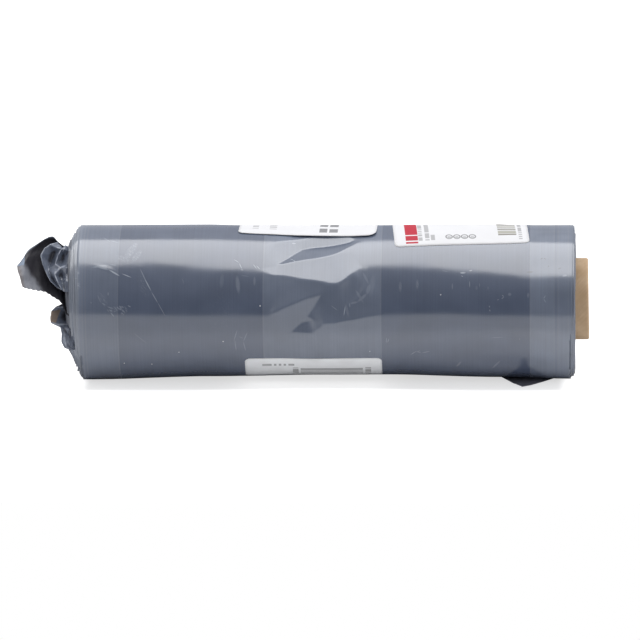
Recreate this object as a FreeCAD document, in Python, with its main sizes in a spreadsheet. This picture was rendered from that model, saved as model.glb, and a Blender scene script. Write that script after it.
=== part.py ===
# A roll of plastic film bags, wound on a cardboard core and lying on its side.
#
# X runs along the core, towards the end where the core sticks out of the bags. Z is up.
# The origin is the middle of the core's bore. Sizes are millimetres and degrees.
# An angle round the roll is 0 at the front (-Y), 90 at the top and 180 at the back.
import FreeCAD
import Part

import os
import re

import Sketcher
from FreeCAD import Placement, Rotation, Vector

SIZES = {
    # cardboard core
    "core_bore_d": 40,        # bore, which a spindle goes through
    "core_wall": 3,
    "core_length": 290,
    "core_end_round": 0.8,    # rounding of the rims
    "core_stickout": 8.2,     # how far the core stands out of the bags at +X
    # wound bags
    "web_d": 86,
    "web_width": 277,         # width of one turn
    "web_stagger": 7.6,       # how far the inner turns have slid towards -X
    "web_steady_deep": 2,     # turns next to the core that slid by the same amount
    "web_corner": 2.2,        # slope of the last turns at +X, along the roll
    "web_corner_deep": 5,     # and across it
    "web_sag": 1.4,           # how far the turns hang below the core's axis
    "flat_width": 11,         # flat spot that the roll lies on
    # loose corner of the last bag, flat on the floor under the front of the roll
    "flap_thick": 0.8,
    "flap_left_in": 43.8,     # its corners, from the turns' end at +X
    "flap_tip_in": 30.2,
    "flap_right_in": 6.8,
    "flap_tip_reach": 32,     # its point, in front of the roll's axis
    "flap_root_reach": 4,     # its root, inside the flat spot
    # paper labels on the last turn: distance from the turns' end at +X, width, then the first
    # angle and the angle that the label covers
    "label_thick": 0.15,
    "label_corner": 2.5,
    "contents_in": 111.8,
    "contents_width": 77.6,
    "contents_from": 72.5,
    "contents_wrap": 80,
    "barcode_in": 25.9,
    "barcode_width": 75.7,
    "barcode_from": 61.5,
    "barcode_wrap": 133,
    "stock_in": 107.5,
    "stock_width": 77,
    "stock_from": -80.5,
    "stock_wrap": 44,
}

# Film gathered out of the end at -X, section by section from its root in the turns:
# how far it stands out, the angles that it spans, how deep under the last turn, half its thickness
GATHERS = {
    "tuft_root": (-6, 16, 82, 9, 4.2),
    "tuft_mid": (10, 18, 84, 9, 4.6),
    "tuft_far": (20, 23, 68, 10, 4),
    "tuft_tip": (28, 31, 48, 13, 2.6),
    "curl_root": (-6, -46, 4, 9, 3),
    "curl_mid": (5, -22, 3, 10, 3),
    "curl_tip": (9.5, -13, -2, 11, 2),
}
for section, values in GATHERS.items():
    for quality, value in zip(("out", "low", "high", "deep", "half"), values):
        SIZES[section + "_" + quality] = value

# Places that several pieces share, in the sizes' own names
WEB_R = "(web_d / 2)"
WEB_RIGHT = "(core_length / 2 - core_stickout)"
WEB_LEFT = "(core_length / 2 - core_stickout - web_width - web_stagger)"
FLAT_LEVEL = "(0 - sqrt((web_d / 2)^2 - (flat_width / 2)^2))"
CORE_R = "(core_bore_d / 2 + core_wall)"

doc = FreeCAD.newDocument("FilmBagRoll")


def makeSheet():
    sheet = doc.addObject("Spreadsheet::Sheet", "Sizes")
    for row, (name, value) in enumerate(SIZES.items(), start=1):
        sheet.set(f"A{row}", name)
        sheet.set(f"B{row}", str(value))
        sheet.setAlias(f"B{row}", name)
    doc.recompute()
    return sheet


def bind(item, prop, formula):
    # Every size has an underscore in its name, and no function has one
    item.setExpression(prop, re.sub(r"[a-z]+(?:_[a-z]+)+", r"Sizes.\g<0>", formula))


def makeBody(label, drop="0", turn="0"):
    # Each body is drawn about its own X axis, then lowered and turned about that axis
    body = doc.addObject("PartDesign::Body", label)
    body.Label = label
    body.Placement = Placement(Vector(), Rotation(Vector(1, 0, 0), 90))
    bind(body, "Placement.Base.z", f"0 - {drop}")
    bind(body, "Placement.Rotation.Angle", turn)
    return body


def makeSketch(body, name, role, shift=None):
    sketch = body.newObject("Sketcher::SketchObject", name)
    plane = next(item for item in body.Origin.OriginFeatures if item.Role == role)
    sketch.AttachmentSupport = (plane, [""])
    sketch.MapMode = "FlatFace"
    if shift:
        bind(sketch, "AttachmentOffset.Base.z", shift)
    return sketch


def place(sketch, line, end, across, up):
    # Ties one end of a line to its distance from the sketch's origin
    for kind, formula in (("DistanceX", across), ("DistanceY", up)):
        index = sketch.addConstraint(Sketcher.Constraint(kind, -1, 1, line, end, 1))
        bind(sketch, f"Constraints[{index}]", formula)


def drawOutline(sketch, corners, closed=True):
    # Draws lines from corner to corner. They start as a regular loop, and the sizes move them.
    count = len(corners)
    turn = Rotation(Vector(0, 0, 1), 360 / count)
    start = Vector(1, 0, 0)
    for line in range(count if closed else count - 1):
        end = turn.multVec(start)
        sketch.addGeometry(Part.LineSegment(start, end))
        if line:
            sketch.addConstraint(Sketcher.Constraint("Coincident", line - 1, 2, line, 1))
        place(sketch, line, 1, *corners[line])
        start = end
    if closed:
        sketch.addConstraint(Sketcher.Constraint("Coincident", line, 2, 0, 1))
    else:
        place(sketch, line, 2, *corners[-1])


def drawCircle(sketch, radius, up="0"):
    circle = sketch.addGeometry(Part.Circle(Vector(0, 0, 0), Vector(0, 0, 1), 1))
    place(sketch, circle, 3, "0", up)
    index = sketch.addConstraint(Sketcher.Constraint("Radius", circle, 1))
    bind(sketch, f"Constraints[{index}]", radius)


def makeFeature(body, kind, name, profile, length=None, bothWays=False):
    feature = body.newObject("PartDesign::" + kind, name)
    feature.Profile = profile
    if length:
        bind(feature, "Length", length)
    if bothWays:
        feature.SideType = "Symmetric"
    return feature


def makePocket(body, name, profile):
    # Cuts the whole length of the roll, from its middle both ways
    doc.recompute()
    before = body.Shape.Volume
    pocket = makeFeature(body, "Pocket", name, profile, "2 * core_length", bothWays=True)
    doc.recompute()
    if body.Shape.Volume >= before:
        raise RuntimeError(name + " cuts nothing")
    return pocket


def makeRevolution(body, name, profile, angle):
    # Reversed, so that a part turn runs the way that the angles round the roll do
    feature = makeFeature(body, "Revolution", name, profile)
    feature.ReferenceAxis = (profile, ["H_Axis"])
    feature.Reversed = True
    bind(feature, "Angle", angle)
    return feature


def makeFillet(body, name, base, edges, radius):
    feature = body.newObject("PartDesign::Fillet", name)
    feature.Base = (base, edges)
    bind(feature, "Radius", radius)
    return feature


def edgesWhere(feature, test):
    doc.recompute()
    return [f"Edge{i}" for i, edge in enumerate(feature.Shape.Edges, start=1) if test(edge)]


def makeCore():
    body = makeBody("core_tube")
    ring = makeSketch(body, "CoreRing", "YZ_Plane")
    drawCircle(ring, "core_bore_d / 2")
    drawCircle(ring, CORE_R)
    tube = makeFeature(body, "Pad", "CoreTube", ring, "core_length", bothWays=True)
    rims = edgesWhere(tube, lambda edge: len(edge.Vertexes) == 1)
    makeFillet(body, "CoreRims", tube, rims, "core_end_round")
    return body


def makeTurns(body):
    # Half the section of the wound turns, with an arc for the shoulder at -X
    profile = makeSketch(body, "TurnsProfile", "XZ_Plane")
    corners = (
        (f"{WEB_LEFT} + web_stagger", WEB_R),
        (f"{WEB_RIGHT} - web_corner", WEB_R),
        (WEB_RIGHT, f"{WEB_R} - web_corner_deep"),
        (f"{WEB_RIGHT} - web_stagger", CORE_R),
        (f"{WEB_RIGHT} - web_stagger", "0"),
        (WEB_LEFT, "0"),
        (WEB_LEFT, f"{CORE_R} + web_steady_deep"),
    )
    drawOutline(profile, corners, closed=False)
    doc.recompute()
    endFace = len(corners) - 2
    top, low = profile.getPoint(0, 1), profile.getPoint(endFace, 2)
    bulge = (top + low) / 2 + Vector(-1, 1, 0)
    arc = profile.addGeometry(Part.Arc(top, bulge, low))
    profile.addConstraint(Sketcher.Constraint("Coincident", arc, 1, 0, 1))
    profile.addConstraint(Sketcher.Constraint("Tangent", arc, 2, endFace, 2))
    return makeRevolution(body, "Turns", profile, "360")


def makeFlatSpot(body):
    sketch = makeSketch(body, "FlatSpotOutline", "YZ_Plane")
    front, back = f"0 - {WEB_R}", WEB_R
    below = f"0 - {WEB_R} - flat_width"
    drawOutline(sketch, [(front, below), (back, below), (back, FLAT_LEVEL), (front, FLAT_LEVEL)])
    return makePocket(body, "FlatSpot", sketch)


def makeBore(body):
    sketch = makeSketch(body, "BoreOutline", "YZ_Plane")
    drawCircle(sketch, CORE_R, "web_sag")
    return makePocket(body, "Bore", sketch)


def makeGather(body, name, sections):
    sketches = []
    for section in sections:
        sketch = makeSketch(body, section, "YZ_Plane", f"{WEB_LEFT} - {section}_out")
        middle = f"({section}_low / 2 + {section}_high / 2)"
        inner = f"({WEB_R} - {section}_deep - {section}_half)"
        outer = f"({WEB_R} - {section}_deep + {section}_half)"
        low, high = section + "_low", section + "_high"
        spots = ((low, inner), (middle, inner), (high, inner), (high, outer), (middle, outer), (low, outer))
        drawOutline(sketch, [(f"0 - {r} * cos({angle})", f"{r} * sin({angle})") for angle, r in spots])
        sketches.append(sketch)
    loft = body.newObject("PartDesign::AdditiveLoft", name)
    loft.Profile = sketches[0]
    loft.Sections = sketches[1:]
    loft.Ruled = True
    return loft


def makeFlap(body):
    sketch = makeSketch(body, "FlapOutline", "XY_Plane", FLAT_LEVEL)
    spots = (("left", "root"), ("tip", "tip"), ("right", "root"))
    drawOutline(sketch, [(f"{WEB_RIGHT} - flap_{end}_in", f"0 - flap_{row}_reach") for end, row in spots])
    return makeFeature(body, "Pad", "Flap", sketch, "flap_thick")


def makeWeb():
    body = makeBody("bag_web", "web_sag")
    makeTurns(body)
    makeGather(body, "Tuft", [name for name in GATHERS if name.startswith("tuft")])
    makeGather(body, "Curl", [name for name in GATHERS if name.startswith("curl")])
    makeFlatSpot(body)
    makeBore(body)
    makeFlap(body)
    return body


def makeLabel(name):
    # A strip of paper, bent round the last turn from its first edge and turned to its angle
    body = makeBody(name + "_label", "web_sag", f"90 - {name}_from")
    strip = makeSketch(body, name.title() + "Strip", "XZ_Plane")
    right = f"{WEB_RIGHT} - {name}_in"
    left = f"{right} - {name}_width"
    top = f"{WEB_R} + label_thick"
    drawOutline(strip, [(left, WEB_R), (right, WEB_R), (right, top), (left, top)])
    sheet = makeRevolution(body, name.title() + "Sheet", strip, f"{name}_wrap")
    corners = edgesWhere(sheet, lambda edge: edge.Length < 2 * SIZES["label_thick"])
    makeFillet(body, name.title() + "Corners", sheet, corners, "label_corner")
    return body


makeSheet()
bodies = [makeCore(), makeWeb()] + [makeLabel(name) for name in ("contents", "barcode", "stock")]
doc.recompute()

failed = [item.Name for item in doc.Objects if {"Invalid", "Error"} & set(item.State)]
if failed:
    raise RuntimeError("these objects failed: " + ", ".join(failed))
for body in bodies:
    if body.Shape.isNull() or not body.Shape.isValid():
        raise RuntimeError(body.Label + " has no valid shape")

os.makedirs("parts", exist_ok=True)
for body in bodies:
    body.Shape.exportStep(f"parts/{body.Label}.step")
    print(f"{body.Label:16} {body.Shape.Volume / 1000:9.2f} cm3, {len(body.Shape.Solids)} solid")
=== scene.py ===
import bisect
import math
import random

import bmesh
import bpy
import numpy
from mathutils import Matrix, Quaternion, Vector, noise


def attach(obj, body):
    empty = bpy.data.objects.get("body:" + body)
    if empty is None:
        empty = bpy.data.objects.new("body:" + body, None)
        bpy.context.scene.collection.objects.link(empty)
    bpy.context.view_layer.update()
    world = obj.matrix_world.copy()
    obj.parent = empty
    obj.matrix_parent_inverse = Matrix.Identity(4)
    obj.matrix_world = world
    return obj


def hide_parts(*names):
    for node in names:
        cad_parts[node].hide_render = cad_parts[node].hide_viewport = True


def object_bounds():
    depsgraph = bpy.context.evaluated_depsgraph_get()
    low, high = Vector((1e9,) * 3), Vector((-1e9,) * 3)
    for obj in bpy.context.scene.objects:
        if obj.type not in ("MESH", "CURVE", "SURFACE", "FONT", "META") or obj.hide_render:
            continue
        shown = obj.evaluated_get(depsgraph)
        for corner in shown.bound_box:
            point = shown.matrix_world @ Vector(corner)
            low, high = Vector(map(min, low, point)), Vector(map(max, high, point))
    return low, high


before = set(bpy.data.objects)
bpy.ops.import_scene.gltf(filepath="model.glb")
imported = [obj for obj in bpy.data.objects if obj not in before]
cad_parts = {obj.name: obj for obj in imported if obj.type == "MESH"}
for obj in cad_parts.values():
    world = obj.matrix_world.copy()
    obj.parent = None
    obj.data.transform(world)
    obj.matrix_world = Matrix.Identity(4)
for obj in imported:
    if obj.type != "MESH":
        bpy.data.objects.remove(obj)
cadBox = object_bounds()
scene = bpy.context.scene
scene.view_settings.view_transform = "Standard"

mm = 0.001
white = (1, 1, 1, 1)


# Camera, lamp, world and floor

studio = {
    "aim": (-0.0071, 0, -0.0123),
    "distance": 4.1,
    "elevation": 12,
    "cameraSide": 0.137,
    "cameraRoll": -0.43,
    "lens": 408.6,
    "sensor": 36,
    "sight": 30,
    "softboxCentre": (0.03, 0.06, 0.54),
    "softboxSize": (0.56, 0.50),
    "softboxPower": 2.12,
    "roomFront": (0.30, 0.307, 0.32),
    "roomLow": (0.10, 0.107, 0.125),
    "roomBack": (0.62, 0.63, 0.66),
    "roomSides": (0.95, 0.95, 0.96),
    # where the room turns from low to high, from front to back, and from its middle to its sides
    "roomRise": (0.05, 0.85),
    "roomDepth": (-0.15, 0.5),
    "roomAside": (0.28, 0.6),
    "floorFront": -0.31,
    "floorBack": 1.6,
    "floorSide": 1.4,
    "floorTone": 0.68,
    # the floor's own glow, painted bounce light on the roll: far off and close to the roll, and at the roll's
    # left and right
    "floorBounce": (0.02, 0.325),
    "bounceFar": (-0.105, -0.052),
    "bounceNear": (-0.014, -0.041),
    "bounceSpan": 0.14,
    "bounceSides": (0.86, 1.23),
    # the floor as the camera sees it: beyond the roll, and in a painted shadow, a soft box of lower glow
    # under the roll
    "floorSeenTone": 0.45,
    "openGlow": 1.0,
    "shadowGlow": 0.63,
    "shadowCentre": (-4.5, 0),
    "shadowHalf": (134.5, 41.5),
    "shadowEdge": (3.5, 4.5),
    # the painted shadow is narrower and paler where the middle is sunk
    "shadowWaist": 4.5,
    "waistReach": (0.02, 0.08),
    "paleCentre": -0.01,
    "paleReach": (0.03, 0.06),
    "paleShare": 0.82,
}


def placeCamera():
    aim = Vector(studio["aim"])
    rise = math.radians(studio["elevation"])
    reach = studio["distance"]
    spot = Vector((studio["cameraSide"], -reach * math.cos(rise), aim.z + reach * math.sin(rise)))
    lens = bpy.data.cameras.new("camera")
    lens.lens = studio["lens"]
    lens.sensor_width = studio["sensor"]
    lens.clip_end = studio["sight"]
    camera = bpy.data.objects.new("camera", lens)
    scene.collection.objects.link(camera)
    roll = Quaternion((0, 0, 1), math.radians(studio["cameraRoll"]))
    camera.location = spot
    camera.rotation_euler = ((aim - spot).to_track_quat("-Z", "Y") @ roll).to_euler()
    scene.camera = camera


placeCamera()


# Small helpers for nodes

def fillNode(tree, node, inputs):
    # Links the sockets and sets the plain values
    for key, value in inputs.items():
        if isinstance(value, bpy.types.NodeSocket):
            tree.links.new(value, node.inputs[key])
        else:
            node.inputs[key].default_value = value
    return node


def addNode(tree, kind, inputs=None, **settings):
    node = tree.nodes.new("ShaderNode" + kind)
    for name, value in settings.items():
        setattr(node, name, value)
    return fillNode(tree, node, inputs or {})


def calc(tree, operation, first, second=0.0, third=0.0, clamp=False):
    inputs = {0: first, 1: second, 2: third}
    return addNode(tree, "Math", inputs, operation=operation, use_clamp=clamp).outputs[0]


def times(tree, first, second):
    return calc(tree, "MULTIPLY", first, second)


def awayFrom(tree, value, middle):
    return calc(tree, "ABSOLUTE", calc(tree, "SUBTRACT", value, middle))


def coord(tree, place, axis):
    # One coordinate of a place: 0, 1 or 2
    return addNode(tree, "SeparateXYZ", {0: place}).outputs[axis]


def joined(tree, x, y, z=0.0):
    return addNode(tree, "CombineXYZ", {0: x, 1: y, 2: z}).outputs[0]


def moved(tree, operation, first, second):
    return addNode(tree, "VectorMath", {0: first, 1: second}, operation=operation).outputs[0]


def spread(tree, value, low, high, outLow=0.0, outHigh=1.0, smooth=False):
    inputs = {"Value": value, "From Min": low, "From Max": high, "To Min": outLow, "To Max": outHigh}
    kind = "SMOOTHSTEP" if smooth else "LINEAR"
    return addNode(tree, "MapRange", inputs, interpolation_type=kind).outputs[0]


def mixTone(tree, factor, first, second, blend="MIX"):
    inputs = {0: factor, 6: first, 7: second}
    return addNode(tree, "Mix", inputs, data_type="RGBA", blend_type=blend).outputs[2]


def rgba(tone):
    return (tone[0], tone[1], tone[2], 1)


def cloudy(tree, place, scale, detail, roughness=0.5):
    inputs = {"Vector": place, "Scale": scale, "Detail": detail, "Roughness": roughness}
    return addNode(tree, "TexNoise", inputs).outputs[0]


def bumped(tree, strength, depth, height):
    # A normal bent by the height, which stands for a depth in mm
    inputs = {"Strength": strength, "Distance": depth * mm, "Height": height}
    return addNode(tree, "Bump", inputs).outputs[0]


def flatPlace(tree):
    # The place on the flat sheet, in mm
    return addNode(tree, "UVMap", uv_map="flat").outputs[0]


def emptyMaterial(name):
    material = bpy.data.materials.new(name)
    material.use_nodes = True
    material.node_tree.nodes.clear()
    return material, material.node_tree


def newMaterial(name):
    material, tree = emptyMaterial(name)
    shader = addNode(tree, "BsdfPrincipled")
    addNode(tree, "OutputMaterial", {0: shader.outputs[0]})
    return material, tree, shader


def newGroup(name, inputs, outputs):
    # Inputs with no value are vectors, the rest are numbers
    tree = bpy.data.node_groups.new(name, "ShaderNodeTree")
    for label, value in inputs.items():
        kind = "NodeSocketVector" if value is None else "NodeSocketFloat"
        socket = tree.interface.new_socket(name=label, in_out="INPUT", socket_type=kind)
        if value is not None:
            socket.default_value = value
    for label in outputs:
        tree.interface.new_socket(name=label, in_out="OUTPUT", socket_type="NodeSocketFloat")
    return tree, tree.nodes.new("NodeGroupInput").outputs, tree.nodes.new("NodeGroupOutput").inputs


def useGroup(tree, group, inputs):
    return addNode(tree, "Group", inputs, node_tree=group).outputs


# Small helpers for meshes

def bendGrid(across, along, place):
    # A flat grid whose points are moved by place(i, j), which also gives their place on the flat film
    bm = bmesh.new()
    layer = bm.loops.layers.uv.new("flat")
    bmesh.ops.create_grid(bm, x_segments=across, y_segments=along, size=1)
    flat = {}
    for vert in bm.verts:
        i = round((vert.co.x + 1) / 2 * across)
        j = round((vert.co.y + 1) / 2 * along)
        vert.co, flat[vert.index] = place(i, j)
    for face in bm.faces:
        for loop in face.loops:
            loop[layer].uv = flat[loop.vert.index]
    return bm


def cutAcross(bm, spots, way):
    # Cuts a flat sheet at each spot along the way
    for spot in spots:
        bmesh.ops.bisect_plane(bm, geom=bm.verts[:] + bm.edges[:] + bm.faces[:], plane_co=way * spot,
                               plane_no=way, dist=1e-4)


def keepFlat(bm, layer):
    # The sheet's places while it is flat, in mm
    for face in bm.faces:
        for loop in face.loops:
            loop[layer].uv = (loop.vert.co.x, loop.vert.co.y)


def makePiece(name, bm, materials):
    mesh = bpy.data.meshes.new(name)
    bm.to_mesh(mesh)
    bm.free()
    piece = bpy.data.objects.new(name, mesh)
    scene.collection.objects.link(piece)
    for material in materials:
        mesh.materials.append(material)
    for face in mesh.polygons:
        face.use_smooth = True
    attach(piece, "root")
    return piece


def thicken(piece, thickness, offset):
    wall = piece.modifiers.new("thickness", "SOLIDIFY")
    wall.thickness = thickness * mm
    wall.offset = offset


def smoothStep(low, high, value):
    t = min(1, max(0, (value - low) / (high - low)))
    return t * t * (3 - 2 * t)


def alongKnots(knots, value):
    # A value that passes smoothly from knot to knot
    if value <= knots[0][0]:
        return knots[0][1]
    for (x1, y1), (x2, y2) in zip(knots, knots[1:]):
        if value <= x2:
            return y1 + (y2 - y1) * smoothStep(x1, x2, value)
    return knots[-1][1]


def nearLine(spots, x, s):
    # Distance to a line through spots, and how far along it the nearest place lies, from 0 to 1
    best, share = 1e9, 0
    for k, ((x1, s1), (x2, s2)) in enumerate(zip(spots, spots[1:])):
        dx, ds = x2 - x1, s2 - s1
        t = min(1, max(0, ((x - x1) * dx + (s - s1) * ds) / (dx * dx + ds * ds)))
        gap = math.hypot(x - x1 - t * dx, s - s1 - t * ds)
        if gap < best:
            best, share = gap, (k + t) / (len(spots) - 1)
    return best, share


def insideOutline(spots, x, s):
    found = False
    for (x1, s1), (x2, s2) in zip(spots, spots[1:] + spots[:1]):
        if (s1 > s) != (s2 > s) and x < x1 + (s - s1) * (x2 - x1) / (s2 - s1):
            found = not found
    return found


def nearBox(spots, x, s, margin):
    # Whether a place is in the box round the spots, or less than the margin outside it
    return all(min(spot[k] for spot in spots) - margin < value < max(spot[k] for spot in spots) + margin
               for k, value in ((0, x), (1, s)))


# World, lamp and floor

def makeWorld():
    world = bpy.data.worlds.new("room")
    scene.world = world
    world.use_nodes = True
    tree = world.node_tree
    tree.nodes.clear()
    way = addNode(tree, "TexCoord").outputs["Generated"]
    rise = spread(tree, coord(tree, way, 2), *studio["roomRise"])
    depth = spread(tree, coord(tree, way, 1), *studio["roomDepth"], smooth=True)
    aside = spread(tree, calc(tree, "ABSOLUTE", coord(tree, way, 0)), *studio["roomAside"], smooth=True)
    tone = mixTone(tree, rise, rgba(studio["roomLow"]), rgba(studio["roomFront"]))
    tone = mixTone(tree, depth, tone, rgba(studio["roomBack"]))
    tone = mixTone(tree, aside, tone, rgba(studio["roomSides"]))
    seen = addNode(tree, "LightPath").outputs["Is Camera Ray"]
    back = addNode(tree, "Background", {0: mixTone(tree, seen, tone, white), 1: 1.0})
    addNode(tree, "OutputWorld", {0: back.outputs[0]})


def makeSoftbox():
    lamp = bpy.data.lights.new("softbox", "AREA")
    lamp.shape = "RECTANGLE"
    lamp.size, lamp.size_y = studio["softboxSize"]
    lamp.energy = studio["softboxPower"]
    softbox = bpy.data.objects.new("softbox", lamp)
    softbox.location = studio["softboxCentre"]
    softbox.visible_camera = False
    scene.collection.objects.link(softbox)


def glowing(tree, tone, light):
    # A matt surface that is also bright itself
    matt = addNode(tree, "BsdfDiffuse", {0: (tone, tone, tone, 1)})
    glow = addNode(tree, "Emission", {0: white, 1: light})
    return addNode(tree, "AddShader", {0: matt.outputs[0], 1: glow.outputs[0]}).outputs[0]


def makeFloor(level):
    bm = bmesh.new()
    bmesh.ops.create_grid(bm, x_segments=1, y_segments=1, size=1)
    for vert in bm.verts:
        y = studio["floorFront"] if vert.co.y < 0 else studio["floorBack"]
        vert.co = (vert.co.x * studio["floorSide"], y, level)
    mesh = bpy.data.meshes.new("floor")
    bm.to_mesh(mesh)
    bm.free()
    floor = bpy.data.objects.new("floor", mesh)
    scene.collection.objects.link(floor)
    material, tree = emptyMaterial("paleFloor")
    place = addNode(tree, "TexCoord").outputs["Object"]
    aside, ahead = coord(tree, place, 0), coord(tree, place, 1)
    span = studio["bounceSpan"]
    # painted bounce light: for all rays but the camera's, the floor glows, most close to the roll
    lift = spread(tree, ahead, *studio["bounceFar"], *studio["floorBounce"], smooth=True)
    lift = times(tree, lift, spread(tree, ahead, *studio["bounceNear"], smooth=True))
    lift = times(tree, lift, spread(tree, aside, -span, span, *studio["bounceSides"]))
    # a painted shadow: the glow the camera sees drops in a soft box under the roll, narrower and paler in the
    # middle
    under = 1.0
    for axis, spot in ((0, aside), (1, ahead)):
        away = awayFrom(tree, spot, studio["shadowCentre"][axis] * mm)
        half, edge = studio["shadowHalf"][axis] * mm, studio["shadowEdge"][axis] * mm
        if axis:
            fromMiddle = calc(tree, "ABSOLUTE", aside)
            waist = spread(tree, fromMiddle, *studio["waistReach"], studio["shadowWaist"] * mm, 0)
            away = calc(tree, "ADD", away, waist)
        under = times(tree, spread(tree, away, half + edge, half - edge, smooth=True), under)
    middle = awayFrom(tree, aside, studio["paleCentre"])
    pale = spread(tree, middle, *studio["paleReach"], studio["paleShare"], 1, smooth=True)
    under = times(tree, under, pale)
    light = spread(tree, under, 0, 1, studio["openGlow"], studio["shadowGlow"])
    plain = glowing(tree, studio["floorTone"], lift)
    seen = glowing(tree, studio["floorSeenTone"], light)
    ray = addNode(tree, "LightPath").outputs["Is Camera Ray"]
    both = addNode(tree, "MixShader", {0: ray, 1: plain, 2: seen})
    addNode(tree, "OutputMaterial", {0: both.outputs[0]})
    mesh.materials.append(material)


makeWorld()
makeSoftbox()
makeFloor(cadBox[0][2])
print("studio ready")


# The wound film: its turns, the folds that run round it and the sunk middle

film = {
    "radius": 43,
    "drop": 1.4,              # how far the turns hang below the core
    "coreRadius": 23.05,
    "leftShoulder": -140.5,
    "rightShoulder": 134.5,
    # edges of the fold layers along the roll, and how dense the film is before and after each
    "edges": (-138.5, -136.9, -118.7, -37.5, 28.5, 111.7, 125.3, 127.3, 133.1),
    "dense": (0, 0.3, 0.38, 1, 0.28, 1, 0, 0.3, 0.1, 0.1),
    "layerStep": 0.05,
    "edgeGap": 0.3,
    # how far the underside stands off the core's axis, by place along the roll, and how far up it tells
    "bottom": ((-139, 44.3), (-68, 42.4), (-5, 41.5), (33, 41.4), (95, 42.8), (134, 43.8)),
    "bottomReach": (35, 85),
    # how far the top stands proud, and the angles between which it rises and falls
    "crown": ((-140, 0.15), (-70, 0.4), (-52, -0.1), (42, -0.1), (60, 0.4), (96, 0.7), (110, 1.1),
              (134, 1.2)),
    "crownRise": (58, 92),
    "crownFall": (140, 200),
    # Where the surface faces a given way, as the lamp's edges show: the way it faces in degrees
    # above the front, how far round it reaches, and the places along and round the roll
    "leans": (
        (42.4, 8.5, (
            (-140, 41.5), (-130, 40.8), (-119, 39.8), (-109, 40.6), (-101, 42), (-87, 40.6), (-79, 38.6),
            (-67, 37.4), (-57, 36.8), (-38, 36.8), (-30, 40), (24, 41), (39, 40), (58, 38.6), (65, 36.8),
            (83, 35), (101, 33), (107, 31), (112, 30.1), (118, 30.8), (125, 31.8), (133, 31.8))),
        (73, 3.5, ((-140, 68.5), (-90, 68.5), (-60, 69.8), (36, 69.8), (88, 69.2), (104, 73))),
        (77, 5, ((98, 77), (111, 69), (133, 68.6))),
        (14, 7, ((98, 14), (110, 18.5), (133, 18.5))),
        (43, 6.5, ((103, 43), (113, 38.7), (133, 38.7))),
        (7.0, 3.6, ((-128, 6), (-72, 5), (-40, 5), (28, 5.6), (66, 6.6), (94, 4.6), (133, 3.8))),
        (-26, 8, ((30, -26), (60, -22.5), (90, -19.5), (104, -18.5), (122, -18.5), (136, -23))),
        (-36, 7, ((30, -36), (60, -41), (90, -47.5), (104, -50), (122, -50), (136, -43))),
        (-5.2, 3.6, ((-128, -2), (-72, -3), (-40, -3), (28, -2.4), (66, -1.4), (94, -3.4), (133, -4.2))),
    ),
    # flat facets of the sunk middle: outline in mm along the roll and degrees round it,
    # the way they face in degrees above the front, and how soft their edges are in mm
    "facets": (
        {"faces": 49.5, "soft": 1.4, "outline": (
            (-39, 37), (-33, 32.2), (-25.5, 31.1), (-15.6, 28), (-7, 26.6), (-3, 24.9), (4.5, 24.5),
            (8, 27.3), (10.9, 32.2), (14.4, 35.8), (17.4, 38.5), (12, 54), (0, 50), (-14, 46), (-27, 42))},
        {"faces": 49.5, "soft": 3, "outline": (
            (-34, 46), (-20, 52), (-15.5, 60), (-11.4, 64), (0, 66.5), (8, 68), (12, 69), (12, 76), (-10, 76),
            (-18, 71), (-32, 64))},
        {"faces": 74, "soft": 0.9, "outline": (
            (-29.5, 42.5), (-23.3, 50.7), (-19.5, 57.2), (-16, 62.6), (-10.4, 65.4), (0, 67),
            (11.4, 68.5), (17, 66.8), (10.1, 60.2), (5.2, 54.3), (0.3, 50.8), (-7.2, 47.4),
            (-14.2, 45.4), (-20.6, 43.4), (-27.1, 41.4))},
        {"faces": 21, "soft": 3, "outline": (
            (-33, 4), (-25.4, 8), (-13.9, 14.6), (-4, 18), (-2, 25), (-15.6, 27), (-30, 22))},
        {"faces": 13, "soft": 3, "outline": (
            (-3, 8), (14, 6), (22, 14), (14, 32), (4.5, 23.5), (-3, 23))},
        {"faces": -4, "soft": 2, "outline": (
            (-33, 1), (-25.4, 6.9), (-13.9, 13.6), (-4.4, 17), (-7.4, 10.9), (-10.9, 2.9), (-14, -3))},
        {"faces": 13, "soft": 2, "outline": (
            (-22.1, -12), (-16, -4.8), (-5, -2.7), (-4.5, -6.9), (-10.1, -12.7))},
        {"faces": 12, "soft": 1.6, "outline": (
            (-11.8, 0.5), (-9, -4), (-5, -5), (3, -4.6), (7, -3.2), (14.5, -1.6), (21, 0.6), (28, 2.1),
            (28, 8), (0, 9), (-7, 9))},
    ),
    # thin raised creases: line in mm along and degrees round, height and half width in mm
    "creases": (
        {"line": ((20, 37), (20.4, 29), (18.6, 20), (14, 11.5), (8.6, 7)), "high": 0.22, "wide": 2.4},
        {"line": ((-132, 40), (-124, 36.4), (-117.4, 30.6)), "high": 0.25, "wide": 1.6},
        {"line": ((-107, 39), (-101, 21), (-92.4, 0.5)), "high": 0.14, "wide": 1.2},
    ),
    # how a crease falls away beside its line, and the part of a half wave it follows along it
    "creaseFall": 1.5,
    "creaseEnds": (0.1, 0.9),
    # slow waves of the surface: length along in mm, shift, how often round, and height in mm
    "waves": ((26, 0, 2.6, 0.12), (9, 40, 5.2, 0.024)),
    # the angles between which the surface leaves the round, the angle from which it is held less
    # closely, and over how many degrees and down to what share that fades
    "leanFrom": -64,
    "closeTo": ((-66, 110), (-46, 92), (34, 92), (58, 110), (96, 110), (106, 124)),
    "closeFrom": ((-62, 72), (-46, 74), (18, 74), (34, 72), (96, 72), (106, 80)),
    "closeFade": 8,
    "farHold": 0.015,
    "alongHold": 0.12,
    "settleTurns": 700,
    "settledEnough": 1e-6,
    "middleStep": 0.62,
    "sideStep": 1.7,
    "seam": -75,              # where the grid's two edges meet, in degrees
    "frontSteps": 180,
    "backSteps": 36,
}
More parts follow.
